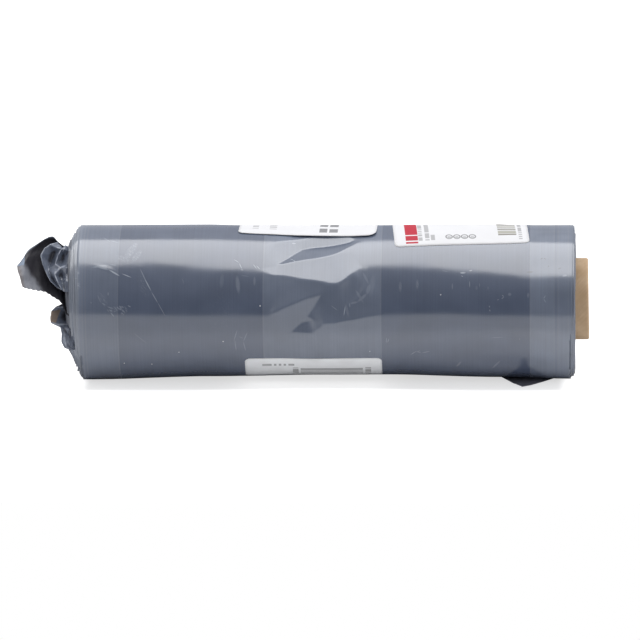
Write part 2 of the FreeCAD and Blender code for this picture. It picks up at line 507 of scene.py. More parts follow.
arcPerDegree = film["radius"] * math.pi / 180


def filmAngles():
    front = [film["seam"] + 180 * k / film["frontSteps"] for k in range(film["frontSteps"])]
    back = [film["seam"] + 180 + 180 * k / film["backSteps"] for k in range(film["backSteps"] + 1)]
    return front + back


def wrapStations():
    # Places along the last turn: closer in the sunk middle, and a pair at each layer's edge
    gap = film["edgeGap"] / 2
    cuts = [film["leftShoulder"]] + list(film["edges"]) + [film["rightShoulder"]]
    stations = []
    for k, (x1, x2) in enumerate(zip(cuts, cuts[1:])):
        start = x1 + (gap if k else 0)
        stop = x2 - (gap if k < len(cuts) - 2 else 0)
        middle = film["edges"][3] <= x1 < film["edges"][4]
        steps = max(1, round((stop - start) / (film["middleStep"] if middle else film["sideStep"])))
        stations += [(start + (stop - start) * n / steps, film["dense"][k]) for n in range(steps + 1)]
    return stations


def inMm(spots):
    # From degrees round the roll to mm round it
    return [(x, angle * arcPerDegree) for x, angle in spots]


facets = [(facet, inMm(facet["outline"])) for facet in film["facets"]]
creases = [(crease, inMm(crease["line"])) for crease in film["creases"]]


def leanAt(x, angle):
    # How far the surface leans back from round at this place, in degrees
    lean = 0
    for faces, reach, knots in film["leans"]:
        middle = alongKnots(knots, x)
        lean += (faces - middle) * math.exp(-(((angle - middle) / reach) ** 2))
    s = angle * arcPerDegree
    for facet, outline in facets:
        soft = facet["soft"]
        if nearBox(outline, x, s, soft):
            gap = nearLine(outline + outline[:1], x, s)[0]
            if not insideOutline(outline, x, s):
                gap = -gap
            lean += (facet["faces"] - angle - lean) * smoothStep(-soft / 2, soft / 2, gap)
    return lean


def creaseHeight(x, angle):
    s = angle * arcPerDegree
    height = 0
    low, high = film["creaseEnds"]
    for crease, line in creases:
        wide = crease["wide"]
        if nearBox(line, x, s, wide):
            gap, share = nearLine(line, x, s)
            if gap < wide:
                side = (1 - gap / wide) ** film["creaseFall"]
                height += crease["high"] * side * math.sin(math.pi * (low + (high - low) * share))
    return height


def settleHeights(places, angles):
    # Heights whose slopes round the roll are the leans, found so that the slopes along it stay small
    arc = numpy.radians(numpy.diff(angles))[None, :] * film["radius"]
    between = numpy.diff(places)[:, None]
    width = numpy.gradient(places)[:, None]
    middles = [(a + b) / 2 for a, b in zip(angles, angles[1:])]
    wanted = numpy.array([[-math.tan(math.radians(leanAt(x, a)))
                           if film["leanFrom"] < a < film["closeTo"][0][1] else 0.0 for a in middles]
                          for x in places])
    # The leans are kept closely in view, and given up under the labels
    hold = numpy.array([[1 - (1 - film["farHold"]) * smoothStep(start, start + film["closeFade"], a)
                         for a in middles]
                        for start in [alongKnots(film["closeFrom"], x) for x in places]])
    free = numpy.array([[1.0 if film["leanFrom"] < a < end else 0.0 for a in angles]
                        for end in [alongKnots(film["closeTo"], x) for x in places]])

    def slopesToHeights(around, ahead):
        heights = numpy.zeros((len(places), len(angles)))
        heights[:, 1:] += around / arc
        heights[:, :-1] -= around / arc
        heights[1:] += ahead / between
        heights[:-1] -= ahead / between
        return heights * free

    def weigh(heights):
        step = numpy.diff(heights, axis=1) / arc
        ahead = numpy.diff(heights, axis=0) / between
        return slopesToHeights(step * hold * width * arc, ahead * between * film["alongHold"])

    rest = slopesToHeights(wanted * hold * width * arc, numpy.zeros((len(places) - 1, len(angles))))
    heights = numpy.zeros_like(rest)
    way = rest.copy()
    size = float((rest * rest).sum())
    for _ in range(film["settleTurns"]):
        push = weigh(way)
        share = size / float((way * push).sum())
        heights += share * way
        rest -= share * push
        newSize = float((rest * rest).sum())
        way = rest + newSize / size * way
        size = newSize
        if size < film["settledEnough"]:
            break
    return heights


def wrapSection(x, dense, angles, heights):
    # Radius at each angle of one station
    bottom, crown = alongKnots(film["bottom"], x), alongKnots(film["crown"], x)
    radii = []
    for angle, height in zip(angles, heights):
        fromBottom = abs((angle + 90 + 180) % 360 - 180)
        low = 1 - smoothStep(*film["bottomReach"], fromBottom)
        high = smoothStep(*film["crownRise"], angle) * (1 - smoothStep(*film["crownFall"], angle))
        radius = film["radius"] + (bottom - film["radius"]) * low + dense * film["layerStep"] + crown * high
        turn = math.radians(angle)
        for length, shift, often, size in film["waves"]:
            spot = Vector((x / length + shift, math.cos(turn) * often, math.sin(turn) * often))
            radius += noise.noise(spot) * size
        radii.append(radius + creaseHeight(x, angle) + float(height))
    return radii


angles = filmAngles()
stations = wrapStations()
stationPlaces = [x for x, dense in stations]
settled = settleHeights(numpy.array(stationPlaces), angles)
sections = [wrapSection(x, dense, angles, row) for (x, dense), row in zip(stations, settled)]
print("film sections:", len(sections), "stations,", len(angles), "angles, heights",
      round(float(settled.min()), 2), round(float(settled.max()), 2))


def surfaceRadius(x, angle):
    # Radius of the last turn at any place, from the sections
    x = min(max(x, stationPlaces[0]), stationPlaces[-1])
    high = max(1, bisect.bisect_left(stationPlaces, x))
    x1, x2 = stationPlaces[high - 1], stationPlaces[high]
    share = (x - x1) / (x2 - x1)
    turn = (angle - film["seam"]) % 360
    if turn < 180:
        k = turn / 180 * film["frontSteps"]
    else:
        k = film["frontSteps"] + (turn - 180) / 180 * film["backSteps"]
    j = min(int(k), len(angles) - 2)
    part = k - j
    low = sections[high - 1][j] * (1 - part) + sections[high - 1][j + 1] * part
    up = sections[high][j] * (1 - part) + sections[high][j + 1] * part
    return low * (1 - share) + up * share


floorGap = 0.02
floorLevel = cadBox[0][2] / mm + floorGap


def onRoll(x, angle, radius):
    # A place on the roll, in metres, kept above the floor
    turn = math.radians(angle)
    z = radius * math.sin(turn) - film["drop"]
    return Vector((x, -radius * math.cos(turn), max(z, floorLevel))) * mm


ends = {
    # Groups of turns: where each one ends along the roll, and its radius
    "left": (
        (-140.9, 43), (-142.2, 42.2), (-143.4, 40.9), (-144.6, 38.6), (-145.9, 36.2), (-146.9, 34.9),
        (-147.7, 33.2), (-148.2, 31.9), (-148.7, 30.6), (-148.8, 29.1), (-149.3, 27.8), (-149.1, 26.6),
        (-149.4, 25.2), (-149.3, 24.1),
    ),
    "right": (
        (134.7, 43), (135.6, 42.4), (136.3, 41.6), (136.8, 40.2), (137.1, 38.4), (136.3, 36.9),
        (135.8, 35.4), (134.7, 34), (134.3, 32.4), (133.1, 31), (132.9, 29.6), (131.5, 28.1),
        (131.1, 26.7), (130.2, 25.4), (129.3, 24.2),
    ),
    # how far the left end leans in by height, and the right one for each mm of height
    "leftSlant": ((-43, 2.3), (-37, 0.8), (-33, 1.8), (-28, 2), (-22, 0.6), (0, 0), (43, -1.1)),
    "rightSlant": 0.03,
    # the radii between which that lean grows, left and right
    "slantReach": ((20, 35), (41, 42.6)),
    "rounding": 0.14,
    "turnStep": 0.5,          # the film that counts as a single turn
    "fineStep": 0.35,         # how far the single turns in a group stand in or out
    "fineSides": (-1, 0.2),   # the shares of it that they may stand in and out
    "fullGroup": 1.5,         # a group this thick has the whole of it
    # small distances in mm: after a step, under a group, at its inner corner and beside the core
    "afterStep": 0.12,
    "underGroup": 0.1,
    "innerCorner": (0.03, 0.06),
    "besideCore": 0.3,
    "wobble": (0.7, 0.42),    # how far the rings wander, left and right
    "wobbleOften": (0.5, 1.7, 0.4),   # how often: by radius, round the roll and along it
    "facesPast": (-146.4, 137.2),     # past these places the turns are seen from their ends
}


def endProfile(side, way, seed):
    # Steps from the last turn down to the core. Each group of turns ends in a rounded corner
    draw = random.Random(seed)
    soft, turnStep = ends["rounding"], ends["turnStep"]
    groups = ends[side]
    profile = []
    start = None
    for (x1, r1), (x2, r2) in zip(groups, groups[1:] + ((groups[-1][0], film["coreRadius"]),)):
        if start is not None and (x1 - start) * way > turnStep:
            profile.append((start + way * ends["afterStep"], r1))
            profile.append((x1 - way * 2 * soft, r1))
        profile.append((x1 - way * soft, r1))
        profile.append((x1 - way * soft * 0.3, r1 - soft * 0.3))
        profile.append((x1, r1 - soft))
        count = max(1, round((r1 - r2) / turnStep))
        for k in range(1, count):
            push = draw.uniform(*ends["fineSides"]) * ends["fineStep"] * min(1, (r1 - r2) / ends["fullGroup"])
            profile.append((x1 + way * push, r1 - soft + (r2 + ends["underGroup"] - r1 + soft) * k / count))
        start = min(x1 * way, x2 * way) * way
        profile.append((start - way * ends["innerCorner"][0], r2 + ends["innerCorner"][1]))
        profile.append((start, r2))
    return profile[:-2] + [(groups[-1][0] - way * ends["besideCore"], film["coreRadius"])]


left, right = endProfile("left", -1, 5)[::-1], endProfile("right", 1, 8)
rowCount = len(left) + len(stations) + len(right)


def filmPlace(i, j):
    # Where a point of the film's grid lies, and its place on the flat film
    angle, station = angles[i], j - len(left)
    if 0 <= station < len(stations):
        x = stationPlaces[station]
        return onRoll(x, angle, sections[station][i]), (x, angle * arcPerDegree)
    side = 0 if station < 0 else 1
    x, radius = right[station - len(stations)] if side else left[j]
    edge = sections[-1 if side else 0][i] - film["radius"]
    inward = film["radius"] - radius
    flatX = film["rightShoulder"] + inward if side else film["leftShoulder"] - inward
    share = (radius - film["coreRadius"]) / (film["radius"] - film["coreRadius"])
    turn = math.radians(angle)
    high = radius * math.sin(turn)
    deep, often, long = ends["wobbleOften"]
    spot = Vector((radius * deep, math.cos(turn) * often, math.sin(turn) * often + flatX * long))
    slant = ends["rightSlant"] * high if side else alongKnots(ends["leftSlant"], high)
    x += noise.noise(spot) * ends["wobble"][side] + slant * smoothStep(*ends["slantReach"][side], radius)
    return onRoll(x, angle, radius + edge * share), (flatX, angle * arcPerDegree)


def makeFilmRoll(materials):
    bm = bendGrid(len(angles) - 1, rowCount - 1, filmPlace)
    bmesh.ops.remove_doubles(bm, verts=bm.verts, dist=1e-7)
    rims = [edge for edge in bm.edges if edge.is_boundary]
    bmesh.ops.bridge_loops(bm, edges=rims)
    bmesh.ops.recalc_face_normals(bm, faces=bm.faces)
    low, high = ends["facesPast"]
    for face in bm.faces:
        face.material_index = 0 if low < face.calc_center_median().x / mm < high else 1
    roll = makePiece("film_roll", bm, materials)
    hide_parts("bag_web")
    return roll


# Effects that several finishes use

grainLook = {
    "fine": 1.2, "long": 0.012, "lineDetail": 3.0, "lineRoughness": 0.6,
    "cloudOften": 0.045, "cloudDetail": 2.0, "reach": (0.3, 0.7),
}


def makeGrainGroup():
    # Noise stretched along one way of the flat sheet, in mm
    inputs = {"Vector": None, "Fine": grainLook["fine"], "Long": grainLook["long"], "Seed": 0.0}
    tree, given, out = newGroup("windLines", inputs, ("Lines", "Cloud"))
    across = times(tree, coord(tree, given["Vector"], 0), given["Fine"])
    around = times(tree, coord(tree, given["Vector"], 1), given["Long"])
    lines = joined(tree, across, around, given["Seed"])
    lines = cloudy(tree, lines, 1.0, grainLook["lineDetail"], grainLook["lineRoughness"])
    wide = {0: given["Vector"], 3: grainLook["cloudOften"]}
    wide = addNode(tree, "VectorMath", wide, operation="SCALE").outputs[0]
    cloud = cloudy(tree, wide, 1.0, grainLook["cloudDetail"])
    tree.links.new(spread(tree, lines, *grainLook["reach"]), out[0])
    tree.links.new(spread(tree, cloud, *grainLook["reach"]), out[1])
    return tree


def makeInkGroup():
    # A field with plain straight sides, in mm on the flat sheet
    inputs = {"Vector": None, "Left": 0.0, "Right": 1.0, "Low": 0.0, "High": 1.0, "Soft": 0.15}
    tree, given, out = newGroup("inkField", inputs, ("Mask",))
    sides = []
    for axis, low, high in ((0, "Left", "Right"), (1, "Low", "High")):
        place = coord(tree, given["Vector"], axis)
        sides.append(calc(tree, "MINIMUM", calc(tree, "SUBTRACT", place, given[low]),
                          calc(tree, "SUBTRACT", given[high], place)))
    soft = calc(tree, "DIVIDE", calc(tree, "MINIMUM", *sides), given["Soft"])
    tree.links.new(calc(tree, "ADD", soft, 0.5, clamp=True), out[0])
    return tree


def makeMarkGroup():
    # A soft ellipse on the flat sheet, for marks of wear, painted highlight and painted shade.
    # Each axis is given as one over its half length
    inputs = {"Vector": None, "Centre": None, "Across": None, "Along": None}
    tree, given, out = newGroup("markSpot", inputs, ("Mask",))
    away = moved(tree, "SUBTRACT", given["Vector"], given["Centre"])
    x, y = [addNode(tree, "VectorMath", {0: away, 1: given[side]}, operation="DOT_PRODUCT").outputs["Value"]
            for side in ("Across", "Along")]
    reach = calc(tree, "MULTIPLY_ADD", x, x, times(tree, y, y))
    tree.links.new(spread(tree, reach, 1.0, 0.1, smooth=True), out[0])
    return tree


windLines = makeGrainGroup()
inkField = makeInkGroup()
markSpot = makeMarkGroup()


# Finishes of the film

filmFinish = {
    "denseTone": (0.076, 0.098, 0.155),
    "thinTone": (0.14, 0.168, 0.23),
    "layerSoft": 0.2,
    # a thin pale line along each edge of the folds, a painted highlight
    "edgeHighlight": (0.20, 0.215, 0.25),
    "edgeShare": 0.24,
    "edgeWide": (0.45, 0.1),
    # the left shoulder is paler, with painted shade in the gap between turns
    "shoulderTone": (0.25, 0.28, 0.34),
    "shoulderReach": (0.6, -1),
    "gapPlace": 1.7,
    "gapWide": (0.5, 0.15),
    "gapBroken": (0.1, 0.5),
    "gapShare": 0.55,
    # the pale tone of wear and painted highlights
    "markTone": (0.42, 0.46, 0.53),
    "paintedShadeTone": (0.03, 0.035, 0.05),
    "speckTone": (0.8, 0.82, 0.85),
    "speckShare": 0.9,
    "lineShare": 0.06,
    "cloudShare": 0.10,
    "roughness": (0.2, 0.27),
    "ior": 2.2,
    "relief": (0.1, 0.03),
    # the streaks that break up the pale patches: their turn, how often across and along, and how torn
    "tornTurn": 0.9,
    "tornOften": (0.45, 1.5, 1),
    "tornDetail": (2.0, 0.65),
    "tornReach": (0.5, 0.64),
    # pale patches, of wear and of painted highlights on wrinkles: across mm, around degrees, turn degrees,
    # half width, half height, how far broken and strength
    "patches": (
        (-51.5, 24.5, -6, 1.5, 6, 0.1, 0.2), (-42.2, 27, 0, 0.9, 3.2, 0.2, 0.17),
        (-60.5, 27, 4, 1.4, 5, 0.3, 0.1), (39.3, 22.8, 0, 1.1, 3.6, 0.3, 0.17),
        (48.8, 24.6, 0, 1, 3.4, 0.4, 0.2), (100.4, 16.9, 0, 1.2, 1.2, 0.3, 0.22),
        (110.7, 16.2, 0, 0.8, 1.8, 0.4, 0.22), (68.4, 22.9, 0, 0.5, 2.2, 0.2, 0.2),
        (81.9, 21.7, 0, 0.8, 1.4, 0.3, 0.12), (88.3, 21.6, 0, 0.5, 1.2, 0.3, 0.14),
        (-112, 53, 24, 2.6, 9, 0.75, 0.35), (-108.6, 48, 30, 2, 6, 0.8, 0.4),
        (-115.6, 45, -60, 2.4, 6, 0.8, 0.3), (-129, 38.8, 82, 0.9, 5.5, 0.3, 0.55),
        (-119.5, 6, 80, 2, 6.5, 0.9, 0.5), (-115, 4, 40, 1.6, 3, 0.9, 0.4),
        (-104.6, 24, -20, 3, 9, 0.85, 0.12), (-127, 13, -30, 2.6, 5, 0.85, 0.16),
        (-141.2, 34, 0, 1, 4.5, 0.75, 0.25), (-140.4, 23.5, 0, 1, 3, 0.8, 0.3),
        (131, 31.6, 75, 0.8, 1.7, 0.2, 0.6), (23.5, 24, 8, 2, 7.5, 0.2, 0.1),
        (16.5, 15.5, -30, 0.9, 5, 0.3, 0.2), (9.5, 5, -14, 1, 4.5, 0.2, 0.16),
        (-61, 3, 0, 10, 16, 0.9, 0.03), (74.2, 33.8, 88, 0.7, 1.9, 0.1, 0.8),
        (78.6, 35.8, 75, 0.5, 1.1, 0.1, 0.6), (-20.8, 66.6, 76, 0.5, 1.4, 0, 0.8),
    ),
    # thin scratch lines, and broader strokes of painted highlight along a crease:
    # from across mm, around degrees, to across mm, around degrees, half width, strength
    "strokes": (
        (-132, 39.2, -123, 35.6, 0.8, 0.55), (-124.5, 36.4, -117.2, 30.4, 0.55, 0.85),
        (-117, 33, -110.6, 29.4, 0.35, 0.7), (-123.5, 40.4, -119.5, 39.6, 0.3, 0.4),
        (-128.6, 69.5, -123.4, 62.3, 0.35, 0.35), (-124.6, 64.8, -118.7, 61.6, 0.35, 0.3),
        (-106.8, 38, -102.2, 24.6, 0.45, 0.3), (-104.4, 30.6, -99.6, 18.4, 0.4, 0.6),
        (-100.2, 19.6, -95.8, 9.6, 0.35, 0.4), (-96.8, 12, -91.8, 0, 0.3, 0.3),
        (-124.1, 18.8, -124, 15.7, 0.3, 0.35), (-127.6, 10.6, -125.3, 8.6, 0.3, 0.4),
        (-130.2, 17, -128, 10.2, 0.3, 0.2), (-124.9, 7.9, -120.6, 6, 0.35, 0.35),
        (-118.4, 7.8, -114.8, 7.2, 0.3, 0.4), (-116.7, 6.1, -114.4, 3, 0.35, 0.4),
        (-122.9, 3.7, -120.6, 0, 0.4, 0.35), (-113.3, 8.8, -111.1, 7.2, 0.35, 0.4),
        (-133.8, 11.6, -133.4, 9.8, 0.3, 0.25), (-142.2, 36.6, -141.5, 31.2, 0.3, 0.5),
        (-141, 36.4, -140.4, 31.8, 0.3, 0.4), (-142.6, 29.6, -140.8, 29.3, 0.3, 0.5),
        (-141, 25.1, -140.2, 22.4, 0.3, 0.4), (-110.8, -11.6, -102, -22.4, 0.4, 0.08),
        (-54.3, 46, -50.8, 42.4, 0.3, 0.5), (-51.2, 42.8, -49.1, 36.3, 0.35, 0.5),
        (-50.3, 36.4, -48.3, 36, 0.3, 0.5), (-43.3, 41.6, -41, 37, 0.35, 0.4),
        (-41.6, 40.6, -39, 36.4, 0.35, 0.4), (-22.8, 48.8, -20.6, 46.4, 0.3, 0.8),
        (-21, 46, -19.5, 44.4, 0.35, 0.8), (-50.3, 31.6, -44.6, 30.6, 0.4, 0.12),
        (-54.2, -20.4, -51.8, -9.4, 0.4, 0.2), (-53.5, -17.6, -52.8, -29.4, 0.4, 0.2),
        (-51.2, -15.6, -48.4, -17.4, 0.3, 0.16), (-46.1, -11.4, -48.8, -20.4, 0.4, 0.2),
        (-48.8, -19.6, -47.4, -29.6, 0.4, 0.2), (8.7, 9, 7.7, 0.2, 0.4, 0.55),
        (10.9, 10.8, 11.2, 6.7, 0.35, 0.3), (0.3, 8.9, 4.6, 4.5, 0.3, 0.25), (18, 35, 22, 24, 0.9, 0.14),
        (22.8, 26, 20.4, 16, 1.5, 0.16), (21, 18, 15, 10.6, 1.1, 0.18), (16, 11.4, 11, 9.8, 0.8, 0.2),
        (31.6, -16.6, 31.2, -22.2, 0.3, 0.28), (32.8, -17.6, 32, -21.8, 0.3, 0.28),
        (73.2, 31.6, 74.5, 30.4, 0.3, 0.5), (78, 27.8, 78.1, 21.4, 0.35, 0.3),
        (96, 16.6, 97.3, 15, 0.3, 0.35), (97.3, 15, 95.7, 13.4, 0.3, 0.35),
        (93.2, 12.5, 94.5, 13.2, 0.3, 0.3), (120.5, 16.4, 119.2, 13.4, 0.35, 0.4),
        (119.2, 13.8, 120.8, 10.4, 0.35, 0.35), (89, 8.6, 89.3, 6.8, 0.35, 0.35),
        (89.2, 5.8, 89.5, 3.8, 0.35, 0.35), (89.5, -17.2, 97.8, -16.8, 0.35, 0.15),
        (105.6, -18.4, 106, -19, 0.3, 0.3), (44.4, -34.8, 48.4, -29.8, 0.35, 0.28),
        (47.6, -30.4, 51.2, -32.6, 0.3, 0.25), (50.6, -32.6, 56, -30.4, 0.35, 0.28),
        (70, -49.6, 73.3, -41.6, 0.8, 0.16), (90, -51.6, 95.4, -41.6, 0.8, 0.16),
        (48, -31.6, 50.4, -29.4, 0.3, 0.2), (83.4, 26, 83.6, 22, 0.3, 0.14),
        (-83, 30, -81.4, 24, 0.4, 0.08), (62, 36, 66.5, 34.2, 0.3, 0.14),
    ),
    # small dark spots of painted shade, standing for a dent each, as the patches
    "dentShade": (
        (128.2, 38.2, 60, 0.7, 1.3, 0, 0.4), (111.6, 34.8, 84, 0.9, 2.4, 0, 0.5),
        (122, 40.3, 0, 0.5, 0.6, 0, 0.5), (118.2, 47.6, 52, 0.35, 1.2, 0, 0.6),
        (120, 47.6, -50, 0.35, 1.1, 0, 0.6), (-140.9, -31, 0, 0.4, 0.4, 0, 0.8),
    ),
    # small bright specks: across mm, around degrees, half size
    "specks": ((-39, 8.3, 0.5), (61.9, 16.6, 0.4), (-85, -30, 0.35), (-60, -20, 0.4), (22, -30, 0.3),
               (-116, -41, 0.4), (-100.6, -43, 0.4)),
}


def tornGrain(tree, place):
    # Short slanting streaks
    spec = filmFinish
    turned = addNode(tree, "VectorRotate", {"Vector": place, "Angle": spec["tornTurn"]}).outputs[0]
    grain = cloudy(tree, moved(tree, "MULTIPLY", turned, spec["tornOften"]), 1.0, *spec["tornDetail"])
    return spread(tree, grain, *spec["tornReach"], smooth=True)


# Lays soft marks of one tone over a tone; the callers use it for wear, painted highlights and painted shade
def paintMarks(tree, place, tone, marks, markTone, torn=None):
    # Each mark: centre across and around in mm, turn, half width, half height, how far broken, strength
    total = None
    for across, around, turn, width, height, broken, strength in marks:
        mask = useGroup(tree, markSpot, {
            "Vector": place, "Centre": (across, around, 0),
            "Across": (math.cos(turn) / width, -math.sin(turn) / width, 0),
            "Along": (math.sin(turn) / height, math.cos(turn) / height, 0),
        })[0]
        if broken and torn:
            mask = times(tree, mask, spread(tree, torn, 0, 1, (1 - broken) * strength, strength))
        else:
            mask = times(tree, mask, strength)
        total = mask if total is None else calc(tree, "MAXIMUM", total, mask)
    return tone if total is None else mixTone(tree, total, tone, rgba(markTone))


def patchMarks(patches):
    return [(x, a * arcPerDegree, math.radians(turn), wide, high, broken, strength)
            for x, a, turn, wide, high, broken, strength in patches]


def strokeMarks(strokes, perStep=1.0):
    # Long thin marks from one place to another
    marks = []
    for x1, s1, x2, s2, wide, strength in strokes:
        dx, ds = x2 - x1, (s2 - s1) * perStep
        turn, half = math.pi / 2 - math.atan2(ds, dx), math.hypot(dx, ds) / 2
        marks.append(((x1 + x2) / 2, (s1 + s2) / 2 * perStep, turn, wide, half, 0, strength))
    return marks


def makeFilmFinish():
    material, tree, shader = newMaterial("wound_film")
    spec, place = filmFinish, flatPlace(tree)
    across = coord(tree, place, 0)
    grain = useGroup(tree, windLines, {"Vector": place})
    # Dense and thin layers between the edges of the folds
    dense = 0.0
    shares = film["dense"]
    for edge, before, after in zip(film["edges"], shares, shares[1:]):
        step = spread(tree, across, edge - spec["layerSoft"], edge + spec["layerSoft"], 0, after - before)
        dense = calc(tree, "ADD", step, dense)
    tone = mixTone(tree, dense, rgba(spec["thinTone"]), rgba(spec["denseTone"]))
    lines, cloud = [spread(tree, grain[name], 0, 1, 1 - share, 1 + share)
                    for name, share in (("Lines", spec["lineShare"]), ("Cloud", spec["cloudShare"]))]
    light = times(tree, lines, cloud)
    tone = mixTone(tree, 1.0, tone, joined(tree, light, light, light), "MULTIPLY")
    # a painted highlight along each edge of the folds
    for edge in film["edges"]:
        share = spread(tree, awayFrom(tree, across, edge), *spec["edgeWide"], 0, spec["edgeShare"])
        tone = mixTone(tree, share, tone, rgba(spec["edgeHighlight"]))
    shoulder = [film["leftShoulder"] + reach for reach in spec["shoulderReach"]]
    tone = mixTone(tree, spread(tree, across, *shoulder, smooth=True), tone, rgba(spec["shoulderTone"]))
    # painted shade in the gap between turns
    gap = awayFrom(tree, across, film["leftShoulder"] - spec["gapPlace"])
    gap = spread(tree, gap, *spec["gapWide"])
    gap = times(tree, gap, spread(tree, grain["Cloud"], *spec["gapBroken"]))
    tone = mixTone(tree, times(tree, gap, spec["gapShare"]), tone, rgba(spec["paintedShadeTone"]))
    # pale marks of wear and painted highlights, then spots of painted shade
    marks = patchMarks(spec["patches"]) + strokeMarks(spec["strokes"], arcPerDegree)
    tone = paintMarks(tree, place, tone, marks, spec["markTone"], tornGrain(tree, place))
    tone = paintMarks(tree, place, tone, patchMarks(spec["dentShade"]), spec["paintedShadeTone"])
    specks = [(x, a * arcPerDegree, 0, size, size, 0, spec["speckShare"]) for x, a, size in spec["specks"]]
    fillNode(tree, shader, {
        "Base Color": paintMarks(tree, place, tone, specks, spec["speckTone"]),
        "Roughness": spread(tree, grain["Cloud"], 0, 1, *spec["roughness"]), "IOR": spec["ior"],
        "Normal": bumped(tree, *spec["relief"], grain["Lines"]),
    })
    return material


edgeFinish = {
    "tone": (0.095, 0.108, 0.142), "pale": (0.26, 0.28, 0.325), "dull": (0.12, 0.115, 0.12),
    "dullShare": 0.35, "roughness": (0.38, 0.24), "ior": 1.6, "relief": (0.5, 0.08),
    "rings": {"Fine": 2.6, "Long": 0.02, "Seed": 3.0},
}


def makeEdgeFinish():
    # The turns seen from their ends: fine rings, paler and more matt than the wound face
    material, tree, shader = newMaterial("film_edges")
    spec = edgeFinish
    grain = useGroup(tree, windLines, {"Vector": flatPlace(tree), **spec["rings"]})
    tone = mixTone(tree, grain["Lines"], rgba(spec["tone"]), rgba(spec["pale"]))
    dull = spread(tree, grain["Cloud"], 0, 1, 0, spec["dullShare"])
    fillNode(tree, shader, {
        "Base Color": mixTone(tree, dull, tone, rgba(spec["dull"])),
        "Roughness": spread(tree, grain["Lines"], 0, 1, *spec["roughness"]), "IOR": spec["ior"],
        "Normal": bumped(tree, *spec["relief"], grain["Lines"]),
    })
    return material


filmRoll = makeFilmRoll([makeFilmFinish(), makeEdgeFinish()])
print("film roll:", len(filmRoll.data.polygons), "faces")


# The cardboard core

core = {
    "bore": 20, "outside": 23, "half": 145, "round": 1.1, "roundSteps": 4, "short": 0.45, "slant": 0.35,
    "lengthSteps": 10, "turns": 128,
    "tone": (0.60, 0.41, 0.24), "pale": (0.78, 0.575, 0.38), "dark": (0.42, 0.27, 0.15),
    "seamPitch": 95, "seamWidth": (0.8, 0.2), "seamShift": 30, "seamShare": 0.5, "seamDeep": 1.5,
    "creped": 0.28, "crepeSlant": 0.9, "crepeFine": (1.5, 3.0, 0.5), "crepeDetail": (3.0, 0.65),
    "crepeReach": (0.35, 0.65), "cloud": (90.0, 2.0), "cloudReach": (0.3, 0.7),
    "plyPitch": 12.0, "plyReach": (0.2, 0.9), "plyShare": 0.45, "rimFrom": 0.25, "rimTo": 0.05,
    "roughness": 0.82, "specular": 0.3, "relief": (0.6, 0.12),
    # how far from its end the short and slanting cut is felt
    "cutFrom": 8, "cutTo": 1,
}


def makeBoardFinish():
    material, tree, shader = newMaterial("kraft_board")
    place = addNode(tree, "TexCoord").outputs["Object"]
    x, y, z = [coord(tree, place, axis) for axis in range(3)]
    around = calc(tree, "ARCTAN2", z, y)
    lengthwise = times(tree, x, 1 / mm)
    reach = calc(tree, "SQRT", calc(tree, "MULTIPLY_ADD", y, y, times(tree, z, z)))
    reach = times(tree, reach, 1 / mm)
    # Creped fibres lie slanting across the ply
    slanted = calc(tree, "MULTIPLY_ADD", around, core["outside"] * core["crepeSlant"], lengthwise)
    fibre = [times(tree, way, fine) for way, fine in zip((slanted, around, reach), core["crepeFine"])]
    creped = cloudy(tree, joined(tree, *fibre), 1.0, *core["crepeDetail"])
    creped = spread(tree, creped, *core["crepeReach"])
    cloud = spread(tree, cloudy(tree, place, *core["cloud"]), *core["cloudReach"])
    tone = mixTone(tree, cloud, rgba(core["tone"]), rgba(core["pale"]))
    tone = mixTone(tree, times(tree, creped, core["creped"]), tone, rgba(core["dark"]))
    # The spiral: how far along this place is from the seam of the outer ply, in mm
    drift = times(tree, around, core["seamPitch"] / (2 * math.pi))
    spiral = calc(tree, "ADD", lengthwise, drift)
    phase = calc(tree, "PINGPONG", calc(tree, "ADD", spiral, core["seamShift"]), core["seamPitch"] / 2)
    seam = spread(tree, phase, *core["seamWidth"])
    tone = mixTone(tree, times(tree, seam, core["seamShare"]), tone, rgba(core["dark"]))
    # Plies show as rings on the rims
    rings = calc(tree, "SINE", times(tree, reach, core["plyPitch"]))
    rings = spread(tree, rings, *core["plyReach"])
    rim = calc(tree, "ABSOLUTE", lengthwise)
    rim = spread(tree, rim, core["half"] - core["rimFrom"], core["half"] - core["rimTo"])
    shade = times(tree, rings, times(tree, rim, core["plyShare"]))
    height = calc(tree, "SUBTRACT", creped, times(tree, seam, core["seamDeep"]))
    fillNode(tree, shader, {
        "Base Color": mixTone(tree, shade, tone, rgba(core["dark"])), "Roughness": core["roughness"],
        "Specular IOR Level": core["specular"], "Normal": bumped(tree, *core["relief"], height),
    })
    return material


